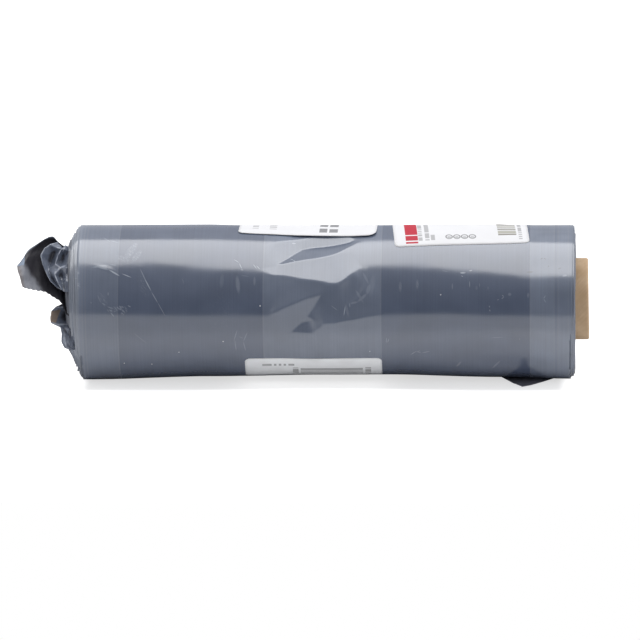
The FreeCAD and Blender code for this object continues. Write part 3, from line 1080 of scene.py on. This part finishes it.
def makeCore():
    # Half of the wall's section, mirrored along the core and spun round it
    bm = bmesh.new()
    rounding, count = core["round"], core["roundSteps"]
    flat = core["half"] - rounding
    bends = [(rounding * math.sin(math.pi / 2 * k / count), rounding * math.cos(math.pi / 2 * k / count))
             for k in range(count + 1)]
    spots = [(flat * k / core["lengthSteps"], core["outside"]) for k in range(core["lengthSteps"])]
    spots += [(flat + out, core["outside"] - rounding + up) for out, up in bends]
    spots += [(flat + up, core["bore"] + rounding - out) for out, up in bends]
    spots.append((0, core["bore"]))
    verts = [bm.verts.new(Vector((x, 0, r)) * mm) for x, r in spots]
    for a, b in zip(verts, verts[1:]):
        bm.edges.new((a, b))
    bmesh.ops.spin(bm, geom=bm.verts[:] + bm.edges[:], cent=(0, 0, 0), axis=(1, 0, 0),
                   angle=2 * math.pi, steps=core["turns"], use_merge=True)
    bmesh.ops.mirror(bm, geom=bm.verts[:] + bm.edges[:] + bm.faces[:], axis="X", merge_dist=1e-6)
    bmesh.ops.remove_doubles(bm, verts=bm.verts, dist=1e-6)
    # The end that sticks out is cut a little short and not quite square
    cutFrom, cutTo = [(core["half"] - core[name]) * mm for name in ("cutFrom", "cutTo")]
    for vert in bm.verts:
        near = smoothStep(cutFrom, cutTo, vert.co.x)
        vert.co.x -= (core["short"] + core["slant"] * vert.co.z / (core["outside"] * mm)) * near * mm
    bmesh.ops.recalc_face_normals(bm, faces=bm.faces)
    tube = makePiece("core_board", bm, [makeBoardFinish()])
    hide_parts("core_tube")
    return tube


coreBoard = makeCore()
print("core:", len(coreBoard.data.polygons), "faces")


# Paper labels with plain generic print

labels = {
    # radii are the least the paper has along the roll, where it bridges the sunk middle
    "contents": {
        "left": -52.6, "from": 78.1, "turn": -2.95, "width": 77.6, "length": 60, "raisedCorner": 5,
        "radii": ((-54, 41.9), (-36, 41.4), (-20, 41), (-5, 41.05), (5, 41.15), (18, 41.5), (26, 41.8)),
    },
    "barcode": {"left": 36, "from": 57.6, "turn": 4.1, "width": 75.7, "length": 99},
    "stock": {"left": -48.4, "from": -68.6, "turn": -0.4, "width": 76.8, "length": 23.5},
}
paper = {
    "thickness": 0.12, "lift": 0.04, "cell": 2.0, "corner": 3, "cornerSteps": 8, "cornerLift": 0.5,
    # paintedLitTone is a brighter copy of the paper: painted light for the stock label, which faces down at
    # the lower front
    "tone": (0.80, 0.80, 0.815), "paintedLitTone": (0.97, 0.985, 1.0), "shade": (0.75, 0.75, 0.77),
    "ink": (0.16, 0.155, 0.16), "grey": (0.45, 0.45, 0.46), "red": (0.50, 0.008, 0.032),
    "blockGrey": (0.26, 0.26, 0.27), "barInk": (0.20, 0.19, 0.15), "faintInk": (0.44, 0.43, 0.38),
    "roughness": 0.5, "specular": 0.4, "relief": (0.15, 0.03),
    # noise scale, detail and roughness, and how it is spread into shade
    "fibre": (2.2, 4.0, 0.7), "fibreShade": (0.4, 0.7, 0, 0.12),
    "cloud": (0.06, 2.0), "cloudShade": (0.35, 0.65, 0, 0.5),
    # how far from the raised corner the paper lifts
    "raisedReach": (2, 14),
}
# Fields of print in mm on each label, as left, right, low and high, and columns of dashes with their seeds.
# Dashes are given by their pitch in mm and the share that is filled
labelPrint = {
    "contents": {
        "columns": ((7.6, 11, 7.2, 52, 0), (17.2, 21.2, 7.2, 52, 7)), "dashes": (1.3, 0.6),
        "blocks": ((45.4, 49.8, 4.8, 9.6), (51, 55.8, 4.8, 9.2), (45.4, 49.8, 11.6, 18.2),
                   (51, 55.8, 11.6, 18.2), (45.4, 55.8, 24, 26)),
    },
    "barcode": {
        "reds": ((6.4, 13.3, 2.4, 4), (6.4, 13.3, 5.2, 10.6), (6.4, 13.3, 11.8, 36)),
        "columns": ((13.6, 15.9, 4, 44, 3), (17.4, 19.8, 4.4, 44, 14), (20.6, 22.9, 5, 11, 25),
                    (28, 30.2, 34, 48, 36)), "dashes": (1.2, 0.66),
        "lastColumn": (70, 72, 4, 60, 9), "lastDashes": (1.3, 0.7),
        "ringPlaces": (30.9, 35.25, 39.6, 43.95), "ringHigh": 8.4, "ringSquash": 0.78, "ringRadius": 1.75,
        "ringLine": (0.5, 0.2),
        "ringBars": ((-1.2, -0.5), (0.1, 0.6)), "ringBarHalf": 0.9,
        "barSides": (58.6, 68.8), "barSoft": 0.3,
        "bars": ((9.3, 10.7), (16.6, 18.2), (19.6, 20.8), (25.5, 27.5), (29, 33), (35, 36.2), (38, 40.5),
                 (43, 44), (46, 50), (52, 53.4), (56, 59), (60.6, 62)),
        "faintBars": ((11.2, 15.4), (21.6, 24)),
    },
    "stock": {
        "heading": (9.6, 27.6, 15.8, 18), "headingDashes": (1.35, 0.72, 2.0),
        "bars": (31, 66, 2, 12.6), "barDashes": (0.6, 0.5, 4.0), "barSoft": 0.1, "barShare": 0.6,
        "columns": ((26.6, 29.8, 2, 13.4, 0), (67.4, 70.6, 2, 13.4, 13)), "dashes": (0.9, 0.7),
    },
}


def makeLabel(name, material):
    spec = labels[name]
    bm = bmesh.new()
    layer = bm.loops.layers.uv.new("flat")
    bmesh.ops.create_grid(bm, x_segments=1, y_segments=1, size=0.5)
    for vert in bm.verts:
        vert.co = ((vert.co.x + 0.5) * spec["width"], (vert.co.y + 0.5) * spec["length"], 0)
    for vert in bm.verts[:]:
        raised = vert.co.x > 1 and vert.co.y < 1
        size = spec.get("raisedCorner", paper["corner"]) if raised else paper["corner"]
        bmesh.ops.bevel(bm, geom=[vert], offset=size, segments=paper["cornerSteps"], profile=0.5,
                        affect="VERTICES", material=-1)
    for side, way in ((spec["width"], Vector((1, 0, 0))), (spec["length"], Vector((0, 1, 0)))):
        count = round(side / paper["cell"])
        cutAcross(bm, [side * k / count for k in range(1, count)], way)
    keepFlat(bm, layer)
    turn = math.radians(spec["turn"])
    for vert in bm.verts:
        p, q = vert.co.x, vert.co.y
        x = spec["left"] + p * math.cos(turn) - q * math.sin(turn)
        angle = spec["from"] + (p * math.sin(turn) + q * math.cos(turn)) / arcPerDegree
        lift = paper["lift"]
        if "raisedCorner" in spec:
            fromCorner = math.hypot(p - spec["width"], q)
            lift += paper["cornerLift"] * (1 - smoothStep(*paper["raisedReach"], fromCorner))
        least = alongKnots(spec["radii"], x) if "radii" in spec else 0
        vert.co = onRoll(x, angle, max(surfaceRadius(x, angle), least) + lift)
    bmesh.ops.recalc_face_normals(bm, faces=bm.faces)
    bm.faces.ensure_lookup_table()
    face = bm.faces[0]
    middle = face.calc_center_median()
    if face.normal.dot(Vector((0, middle.y, middle.z))) < 0:
        bmesh.ops.reverse_faces(bm, faces=bm.faces)
    piece = makePiece(name + "_paper", bm, [material])
    thicken(piece, paper["thickness"], 1)
    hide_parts(name + "_label")
    return piece


def startPaper(name, paleTone="tone"):
    # Plain white paper, before its print
    material, tree, shader = newMaterial(name + "_print")
    place = flatPlace(tree)
    fibre = cloudy(tree, place, *paper["fibre"])
    cloud = spread(tree, cloudy(tree, place, *paper["cloud"]), *paper["cloudShade"])
    tone = mixTone(tree, cloud, rgba(paper[paleTone]), rgba(paper["shade"]))
    tone = mixTone(tree, spread(tree, fibre, *paper["fibreShade"]), tone, rgba(paper["shade"]))
    fillNode(tree, shader, {"Roughness": paper["roughness"], "Specular IOR Level": paper["specular"],
                            "Normal": bumped(tree, *paper["relief"], fibre)})
    return material, tree, shader, place, tone


def printField(tree, place, tone, ink, sides, soft=0.2, broken=None, share=1.0):
    left, right, low, high = sides
    inputs = {"Vector": place, "Left": left, "Right": right, "Low": low, "High": high, "Soft": soft}
    mask = useGroup(tree, inkField, inputs)[0]
    if broken is not None:
        mask = times(tree, mask, broken)
    if share < 1:
        mask = times(tree, mask, share)
    return mixTone(tree, mask, tone, rgba(ink))


def dashes(tree, value, pitch, filled, seed=0.0):
    # Marks of uneven length in a row, in place of words
    cell = calc(tree, "FLOOR", calc(tree, "DIVIDE", value, pitch))
    draw = addNode(tree, "TexWhiteNoise", {"W": calc(tree, "ADD", cell, seed)}, noise_dimensions="1D")
    return calc(tree, "LESS_THAN", draw.outputs[0], filled)


def printColumns(tree, place, tone, columns, pitch, filled):
    # Grey columns of dashes in place of lines of words
    for left, right, low, high, seed in columns:
        marks = dashes(tree, coord(tree, place, 1), pitch, filled, seed)
        tone = printField(tree, place, tone, paper["grey"], (left, right, low, high), broken=marks)
    return tone


def makeContentsFinish():
    material, tree, shader, place, tone = startPaper("contents")
    spec = labelPrint["contents"]
    tone = printColumns(tree, place, tone, spec["columns"], *spec["dashes"])
    for sides in spec["blocks"]:
        tone = printField(tree, place, tone, paper["blockGrey"], sides)
    fillNode(tree, shader, {"Base Color": tone})
    return material


def makeBarcodeFinish():
    material, tree, shader, place, tone = startPaper("barcode")
    spec = labelPrint["barcode"]
    for sides in spec["reds"]:
        tone = printField(tree, place, tone, paper["red"], sides)
    tone = printColumns(tree, place, tone, spec["columns"], *spec["dashes"])
    high, half = spec["ringHigh"], spec["ringBarHalf"]
    for middle in spec["ringPlaces"]:
        away = moved(tree, "SUBTRACT", place, (middle, high, 0))
        away = moved(tree, "MULTIPLY", away, (1, spec["ringSquash"], 1))
        away = addNode(tree, "VectorMath", {0: away}, operation="LENGTH").outputs["Value"]
        edge = awayFrom(tree, away, spec["ringRadius"])
        tone = mixTone(tree, spread(tree, edge, *spec["ringLine"]), tone, rgba(paper["blockGrey"]))
        for low, top in spec["ringBars"]:
            sides = (middle - half, middle + half, high + low, high + top)
            tone = printField(tree, place, tone, paper["blockGrey"], sides)
    for ink, bars in ((paper["barInk"], spec["bars"]), (paper["faintInk"], spec["faintBars"])):
        for bar in bars:
            tone = printField(tree, place, tone, ink, spec["barSides"] + bar, soft=spec["barSoft"])
    tone = printColumns(tree, place, tone, (spec["lastColumn"],), *spec["lastDashes"])
    fillNode(tree, shader, {"Base Color": tone})
    return material


def makeStockFinish():
    # the stock label's paper is painted brighter, as painted light where it faces down at the lower front
    material, tree, shader, place, tone = startPaper("stock", "paintedLitTone")
    spec = labelPrint["stock"]
    marks = dashes(tree, coord(tree, place, 0), *spec["headingDashes"])
    tone = printField(tree, place, tone, paper["grey"], spec["heading"], broken=marks)
    bars = dashes(tree, coord(tree, place, 1), *spec["barDashes"])
    tone = printField(tree, place, tone, paper["ink"], spec["bars"], spec["barSoft"], bars, spec["barShare"])
    tone = printColumns(tree, place, tone, spec["columns"], *spec["dashes"])
    fillNode(tree, shader, {"Base Color": tone})
    return material


makeLabel("contents", makeContentsFinish())
makeLabel("barcode", makeBarcodeFinish())
makeLabel("stock", makeStockFinish())
print("labels ready")


# Loose film: bags pulled out of the turns at the left end, and a corner under the front

looseLook = {
    # 'deep' is painted shade; 'ridge', 'strip' and 'rim' are painted highlights; 'warm' and 'face' are
    # painted light through the ribbon's tip, and 'beige' through the curl
    "tone": (0.125, 0.145, 0.195), "pale": (0.30, 0.33, 0.40), "beige": (0.34, 0.265, 0.215),
    "deep": (0.046, 0.044, 0.052), "ridge": (0.48, 0.52, 0.60), "warm": (0.25, 0.22, 0.21),
    "face": (0.30, 0.305, 0.335), "strip": (0.25, 0.31, 0.41), "rim": (0.17, 0.19, 0.235),
    "roughness": 0.17, "ior": 1.7, "ribbonRoughness": 0.4, "ribbonIor": 1.45, "thickness": 0.12,
    "grain": {"Fine": 0.35, "Long": 0.2, "Seed": 5.0}, "grainShare": 0.35, "relief": (0.35, 0.2),
    # how far to each side the surface's way is felt, as a share of the sheet
    "feel": 0.02,
    # sizes of the crumples laid over one another, as shares of the pitch
    "crumples": (1, 0.62, 0.4, 0.27),
}
loose = {
    # Rows run from the top edge down to the torn one, places from the free tip to the turns
    "ribbon": {
        "flat": (43, 29), "steps": (84, 48), "crumple": 0.35, "pitch": 7.0, "seed": 3,
        "teeth": 0.55, "toothPitch": 1.7, "teethAcross": (0.03, 0.1), "teethDown": (0.9, 1),
        "net": (
            ((-176, -26, 24.2), (-173.5, -22, 27.1), (-170.4, -18, 31.4), (-165.8, -15, 34.4),
             (-160.6, -12.4, 37.2), (-156.6, -11.5, 37.9), (-153.8, -10, 35), (-147, -9, 29)),
            ((-175.5, -30, 22.8), (-172.6, -26, 25.3), (-169.7, -20, 28.1), (-165, -14, 30.8),
             (-160.5, -10, 32.6), (-156.3, -8, 33.2), (-152.6, -7, 30.5), (-145.4, -9, 27)),
            ((-174.4, -32, 20.3), (-171.6, -29, 20.8), (-168.4, -22, 22.2), (-163.7, -17, 24),
             (-159, -13, 23.7), (-154.6, -11, 23.3), (-151.2, -11, 22.1), (-144, -20, 24)),
            ((-173.4, -33, 16.5), (-170.6, -31, 16.1), (-166.5, -26, 16.2), (-161.9, -23, 16.7),
             (-157.2, -22, 15.3), (-152.7, -22, 12.4), (-149.3, -23, 8.7), (-144, -31, 12)),
            ((-172.5, -34, 13.9), (-169.6, -33, 12.9), (-165, -31, 11.5), (-160.1, -30, 10.4),
             (-155.6, -31, 7.8), (-151.2, -33, 5.1), (-148.3, -34, -1), (-144, -35, -5)),
        ),
    },
    # Places from the turns at the front, over the free edge, and back to the turns behind
    "bunch": {
        "flat": (40, 34), "steps": (70, 70), "crumple": 0.16, "pitch": 5.0, "seed": 8, "folded": True,
        "net": (
            ((-144, -12, 31.9), (-147.9, -12, 31.9), (-149.4, -13, 33.5), (-151.1, -10.5, 31.7),
             (-152.4, -13, 33.3), (-154.2, -13, 35.2), (-155.3, -7, 32.8), (-144, -7, 30.9)),
            ((-144, -14.5, 30), (-147.8, -14.5, 30), (-149.7, -16.5, 31.7), (-151.6, -17.5, 32.1),
             (-154.3, -18.5, 33.2), (-158.2, -17.5, 35), (-157.5, -9.5, 31.6), (-144, -9.5, 29)),
            ((-144, -17, 27.4), (-148.1, -17, 27.4), (-150.9, -14.5, 27.6), (-153.5, -20, 28.9),
             (-156.1, -15, 29.2), (-161, -21, 33.5), (-159.5, -13, 29.7), (-144, -12, 26.4)),
            ((-144, -19.5, 24.8), (-148.5, -19.5, 24.8), (-152, -16.5, 24.4), (-154.8, -22.5, 24.6),
             (-158, -17, 24.3), (-163, -24.5, 30.2), (-161.5, -15.5, 27.1), (-144, -14.5, 23.8)),
            ((-144, -22, 22.9), (-148.3, -25, 22.9), (-151.5, -24, 22.7), (-154.9, -24, 22.3),
             (-158.5, -23, 21.6), (-161.8, -27, 25.5), (-160.9, -19, 23.4), (-144, -17, 21.9)),
            ((-144, -26, 19.2), (-148.6, -26, 19.2), (-151.6, -23.5, 17.3), (-154.8, -29, 19.8),
             (-157.2, -26, 18.5), (-159.2, -30.5, 20.3), (-158.9, -24, 19.2), (-144, -21, 18.2)),
            ((-144, -29.5, 16.1), (-148.6, -30.5, 16.1), (-150.4, -28.5, 14.4), (-152.5, -32.5, 15.7),
             (-155.2, -28, 14.8), (-157.2, -33, 17.1), (-156.7, -28, 16.3), (-144, -24.5, 15.1)),
            ((-144, -33, 10.8), (-148.7, -33, 10.8), (-149.7, -33, 11.1), (-150.7, -34, 12.2),
             (-152.4, -34, 13), (-154.3, -34.5, 14.6), (-153.9, -31.5, 14.2), (-144, -28, 9.8)),
        ),
        # Folds in painted shade and painted highlights on ridges:
        # from across, down to across, down in mm, half width, strength
        "shaded": (
            (11.4, 7.5, 10.5, 14.5, 2.4, 0.8), (22.4, 6, 23.6, 16, 2, 0.8),
            (11, 21.5, 11.4, 26.5, 2.6, 0.7), (22.6, 24, 21.4, 31, 2.2, 0.7), (6, 4, 8, 9, 1.2, 0.5),
            (10, 30, 8, 34, 1.6, 0.6),
        ),
        "ridges": (
            (17.2, 3.5, 17, 9.6, 0.55, 0.9), (17, 9, 17.2, 15.4, 0.45, 0.8),
            (16.8, 23.5, 17.4, 30, 0.6, 0.95), (17.4, 29, 16.4, 34, 0.5, 0.9),
            (18, 3.6, 24, 4.4, 0.8, 0.8), (27.8, 0.5, 28.2, 10, 0.5, 0.7), (28.2, 9, 28.2, 20, 0.4, 0.5),
            (27.8, 20, 27.8, 33, 0.4, 0.8), (6, 17.2, 13, 19.6, 1, 0.8), (12.4, 4.2, 14.6, 7, 0.8, 0.7),
            (23.6, 17, 22.6, 24, 0.4, 0.6), (10.2, 27.4, 6.4, 26.4, 0.4, 0.7),
        ),
    },
    "curl": {
        "flat": (24, 31), "steps": (54, 64), "crumple": 0.1, "pitch": 3.4, "seed": 5, "folded": True,
        # a beige field of painted light shining through the film, slanting, as left, right, low and high
        "beige": (7.6, 16, 3.8, 11), "beigeSlant": -0.3, "beigeSoft": 0.7,
        "net": (
            ((-144, -29, 1.8), (-148, -30, 2.3), (-151, -30, 2.1), (-154.6, -31, 1.6), (-151, -23, 2),
             (-144, -23, 2)),
            ((-144, -30, -1), (-148, -25, -1.6), (-152.6, -27, -0.6), (-157, -32, -0.5), (-151, -22, 0),
             (-144, -22, 0)),
            ((-144, -30, -5), (-148, -24, -4.6), (-153, -29, -4.4), (-157.6, -33, -4.4), (-151, -22, -4),
             (-144, -22, -4)),
            ((-144, -32, -8), (-148.4, -30, -8.2), (-153, -33.5, -7.9), (-157.2, -34, -6.7),
             (-151, -25, -6), (-144, -24, -6)),
            ((-144, -33, -10.6), (-147, -35, -10), (-149.6, -33, -10), (-151.8, -34, -9.2),
             (-149.4, -28, -9), (-144, -26, -9)),
            ((-144, -34, -14), (-146.4, -33.6, -14), (-148.6, -34.8, -13.4), (-151, -34, -13),
             (-149, -29, -13), (-144, -28, -13)),
            ((-144, -35, -17), (-146.6, -35.8, -17.4), (-148.8, -35, -17), (-151.2, -35, -17.4),
             (-149, -30, -17), (-144, -29, -17)),
            ((-144, -35, -20), (-145.8, -36, -20.6), (-147.6, -36.2, -20), (-149.6, -35.6, -20.6),
             (-147.6, -31, -20), (-143, -30, -20)),
            ((-143, -35, -21.6), (-144.2, -36, -21.8), (-145.2, -36.4, -22), (-146.2, -36, -21.8),
             (-145, -32, -21.6), (-143, -31, -21)),
        ),
        # painted shade in folds and painted highlights on ridges, as in the bunch
        "shaded": (
            (5.6, 3.2, 5.8, 11, 3.4, 0.9), (9, 14.6, 9.4, 19.4, 2.4, 0.6), (4, 15, 5, 22, 1.8, 0.5),
            (6, 24, 6.5, 29, 1.4, 0.5),
        ),
        "ridges": (
            (7, 1.2, 14, 0.8, 0.8, 0.6), (8.6, 2.4, 14.2, 3.6, 0.4, 0.7), (14.3, 0.5, 14.3, 5, 0.4, 0.8),
            (3, 12, 14, 11.8, 0.9, 0.8), (13.6, 12, 13.8, 19, 0.6, 0.6), (11.4, 20, 10.8, 27, 2.2, 0.7),
        ),
    },
}


def curveThrough(a, b, c, d, t):
    # A smooth passage from b to c
    bend, twist = 2 * a - 5 * b + 4 * c - d, 3 * b - a - 3 * c + d
    return 0.5 * (2 * b + (c - a) * t + bend * t * t + twist * t * t * t)


def netPlace(net, u, v):
    # A smooth surface through the net's places
    def row(spots, share):
        k = min(int(share * (len(spots) - 1)), len(spots) - 2)
        t = share * (len(spots) - 1) - k
        near = [spots[min(max(k + m, 0), len(spots) - 1)] for m in (-1, 0, 1, 2)]
        return curveThrough(near[0], near[1], near[2], near[3], t)
    return row([row([Vector(spot) for spot in spots], u) for spots in net], v)


def foldedPlace(net, u, v):
    # Flat facets between the net's places, split into triangles
    rows, count = len(net) - 1, len(net[0]) - 1
    i, j = min(int(u * count), count - 1), min(int(v * rows), rows - 1)
    s, t = u * count - i, v * rows - j
    a, b = Vector(net[j][i]), Vector(net[j][i + 1])
    c, d = Vector(net[j + 1][i]), Vector(net[j + 1][i + 1])
    if (i + j) % 2:
        if s + t < 1:
            return a + (b - a) * s + (c - a) * t
        return d + (c - d) * (1 - s) + (b - d) * (1 - t)
    if s > t:
        return a + (b - a) * s + (d - b) * t
    return a + (c - a) * t + (d - c) * s


def crumpled(x, s, pitch, seed):
    # Flat-sided folds in several directions, from -1 to 1
    draw = random.Random(seed)
    total, weight = 0, 0
    for size in looseLook["crumples"]:
        way = draw.uniform(0, math.pi)
        phase = draw.uniform(0, 2)
        steps = (x * math.cos(way) + s * math.sin(way)) / (pitch * size) + phase
        total += size * (2 * abs(steps % 2 - 1) - 1)
        weight += size
    return total / weight


def makeLoose(name, material):
    spec = loose[name]
    net, folded = spec["net"], spec.get("folded")
    across, down = spec["steps"]
    wide, high = spec["flat"]
    surface = foldedPlace if folded else netPlace
    feel = looseLook["feel"]

    def place(i, j):
        u, v = i / across, j / down
        spot = surface(net, u, v)
        ahead = surface(net, min(1, u + feel), v) - surface(net, max(0, u - feel), v)
        below = surface(net, u, min(1, v + feel)) - surface(net, u, max(0, v - feel))
        out = ahead.cross(below)
        if out.length > 1e-6:
            fold = crumpled(u * wide, v * high, spec["pitch"], spec["seed"])
            spot += out.normalized() * fold * spec["crumple"]
        if "teeth" in spec:
            tooth = abs((u * wide / spec["toothPitch"]) % 2 - 1) * smoothStep(*spec["teethAcross"], u)
            spot.z -= tooth * spec["teeth"] * smoothStep(*spec["teethDown"], v)
        return spot * mm, (u * wide, v * high)

    bm = bendGrid(across, down, place)
    if folded:
        inner = [vert for vert in bm.verts if not vert.is_boundary]
        bmesh.ops.smooth_vert(bm, verts=inner, factor=0.5, use_axis_x=True, use_axis_y=True, use_axis_z=True)
    piece = makePiece(name + "_film", bm, [material])
    thicken(piece, looseLook["thickness"], 0)
    area = sum(face.area for face in piece.data.polygons) * 1e6
    print(name, "area", round(area, 1), "flat", wide * high)
    return piece


def startLoose(name):
    material, tree, shader = newMaterial(name + "_film")
    place = flatPlace(tree)
    grain = useGroup(tree, windLines, {"Vector": place, **looseLook["grain"]})
    share = times(tree, grain["Lines"], looseLook["grainShare"])
    tone = mixTone(tree, share, rgba(looseLook["tone"]), rgba(looseLook["pale"]))
    # painted shade in folds and painted highlights on ridges
    for kind, markTone in (("shaded", "deep"), ("ridges", "ridge")):
        tone = paintMarks(tree, place, tone, strokeMarks(loose[name].get(kind, ())), looseLook[markTone])
    fillNode(tree, shader, {"Roughness": looseLook["roughness"], "IOR": looseLook["ior"],
                            "Normal": bumped(tree, *looseLook["relief"], grain["Lines"])})
    return material, tree, shader, place, tone


ribbonLook = {
    # the tip is painted pale, as painted light through its single layer, and turns from warm to cool, by mm
    # across
    "tipShare": 0.75, "tipReach": (1.5, 5.5),
    # the inside of the loop is painted dark, as painted shade, from a slanting and uneven line on
    "deepSlant": -0.46, "deepCloud": (0.25, 2.0), "deepUneven": 3.0, "deepReach": (2.2, 6.6),
    # a folded-over strip along the top of the tip, painted paler as a painted highlight:
    # how its lower edge rises and falls, by mm across
    "stripRise": (0, 6.5, 1.5, 8.8), "stripFall": (7, 9.5, 8.8, 1.8), "stripEdge": (0.4, -0.4),
    # a thin painted highlight along the very top
    "rimEdge": (2.2, 1.6), "rimShare": 0.8,
}


def makeRibbonFinish():
    material, tree, shader, place, tone = startLoose("ribbon")
    spec = ribbonLook
    across, down = coord(tree, place, 0), coord(tree, place, 1)
    # painted light: the tip's single layer is painted pale
    tip = spread(tree, across, *spec["tipReach"], smooth=True)
    tip = mixTone(tree, tip, rgba(looseLook["warm"]), rgba(looseLook["face"]))
    tone = mixTone(tree, spec["tipShare"], tone, tip)
    # painted shade inside the loop
    reach = calc(tree, "MULTIPLY_ADD", down, spec["deepSlant"], across)
    cloud = cloudy(tree, place, *spec["deepCloud"])
    reach = calc(tree, "MULTIPLY_ADD", cloud, spec["deepUneven"], reach)
    deep = spread(tree, reach, *spec["deepReach"], smooth=True)
    tone = mixTone(tree, deep, tone, rgba(looseLook["deep"]))
    # a painted highlight on the folded-over strip
    rise, fall = [spread(tree, across, *spec[name]) for name in ("stripRise", "stripFall")]
    below = calc(tree, "SUBTRACT", down, calc(tree, "MINIMUM", rise, fall))
    tone = mixTone(tree, spread(tree, below, *spec["stripEdge"]), tone, rgba(looseLook["strip"]))
    # a painted highlight along the very top
    rim = times(tree, spread(tree, down, *spec["rimEdge"]), spec["rimShare"])
    tone = mixTone(tree, rim, tone, rgba(looseLook["rim"]))
    fillNode(tree, shader, {"Base Color": tone, "Roughness": looseLook["ribbonRoughness"],
                            "IOR": looseLook["ribbonIor"]})
    return material


def makeBunchFinish():
    material, tree, shader, _, tone = startLoose("bunch")
    fillNode(tree, shader, {"Base Color": tone})
    return material


def makeCurlFinish():
    # Plain film with a beige field of painted light, shining through it, across its upper part
    material, tree, shader, place, tone = startLoose("curl")
    across, down = coord(tree, place, 0), coord(tree, place, 1)
    spec = loose["curl"]
    slanted = joined(tree, calc(tree, "MULTIPLY_ADD", down, spec["beigeSlant"], across), down)
    tone = printField(tree, slanted, tone, looseLook["beige"], spec["beige"], soft=spec["beigeSoft"])
    fillNode(tree, shader, {"Base Color": tone})
    return material


# A folded corner of the last bag, lying on the floor under the front

corner = {
    "outline": ((94, -3.8), (102.7, -24), (103.3, -24.6), (107.2, -32), (112, -28.2), (128.6, -5.4),
                (122, 2), (104, 4)),
    "thickness": 0.12, "flat": (34, 37), "tone": (0.17, 0.165, 0.20), "grain": (0.22, 0.22, 0.26),
    "roughness": 0.3, "ior": 1.5, "streaks": {"Fine": 0.25, "Long": 0.1, "Seed": 9.0},
    # where the first cut is and how far apart the cuts are, along the roll and away from it
    "cuts": ((94, 1.6), (-33, 1.8)), "cutCount": 22,
    "lift": 0.2, "crumple": 0.12, "crumplePitch": 9, "crumpleSeed": 2,
    # under the roll the corner is plain and at one height
    "underRoll": (-16, -4), "underLift": 0.3,
}


def makeCornerFinish():
    material, tree, shader = newMaterial("corner_film")
    grain = useGroup(tree, windLines, {"Vector": flatPlace(tree), **corner["streaks"]})
    tone = mixTone(tree, grain["Lines"], rgba(corner["tone"]), rgba(corner["grain"]))
    fillNode(tree, shader, {"Base Color": tone, "Roughness": corner["roughness"], "IOR": corner["ior"]})
    return material


def makeCorner(material):
    bm = bmesh.new()
    layer = bm.loops.layers.uv.new("flat")
    bm.faces.new([bm.verts.new((x, y, 0)) for x, y in corner["outline"]])
    for (start, step), way in zip(corner["cuts"], (Vector((1, 0, 0)), Vector((0, 1, 0)))):
        cutAcross(bm, [start + step * k for k in range(corner["cutCount"])], way)
    keepFlat(bm, layer)
    for vert in bm.verts:
        x, y = vert.co.x, vert.co.y
        fold = abs(crumpled(x, y, corner["crumplePitch"], corner["crumpleSeed"])) * corner["crumple"]
        under = smoothStep(*corner["underRoll"], y)
        z = floorLevel + (corner["lift"] + fold) * (1 - under) + corner["underLift"] * under
        vert.co = Vector((x, y, z)) * mm
    bmesh.ops.recalc_face_normals(bm, faces=bm.faces)
    bm.faces.ensure_lookup_table()
    if bm.faces[0].normal.z < 0:
        bmesh.ops.reverse_faces(bm, faces=bm.faces)
    area = sum(face.calc_area() for face in bm.faces)
    piece = makePiece("corner_film", bm, [material])
    thicken(piece, corner["thickness"], 1)
    print("corner area", round(area * 1e6, 1))
    return piece


makeLoose("ribbon", makeRibbonFinish())
makeLoose("bunch", makeBunchFinish())
makeLoose("curl", makeCurlFinish())
makeCorner(makeCornerFinish())
print("loose film ready")
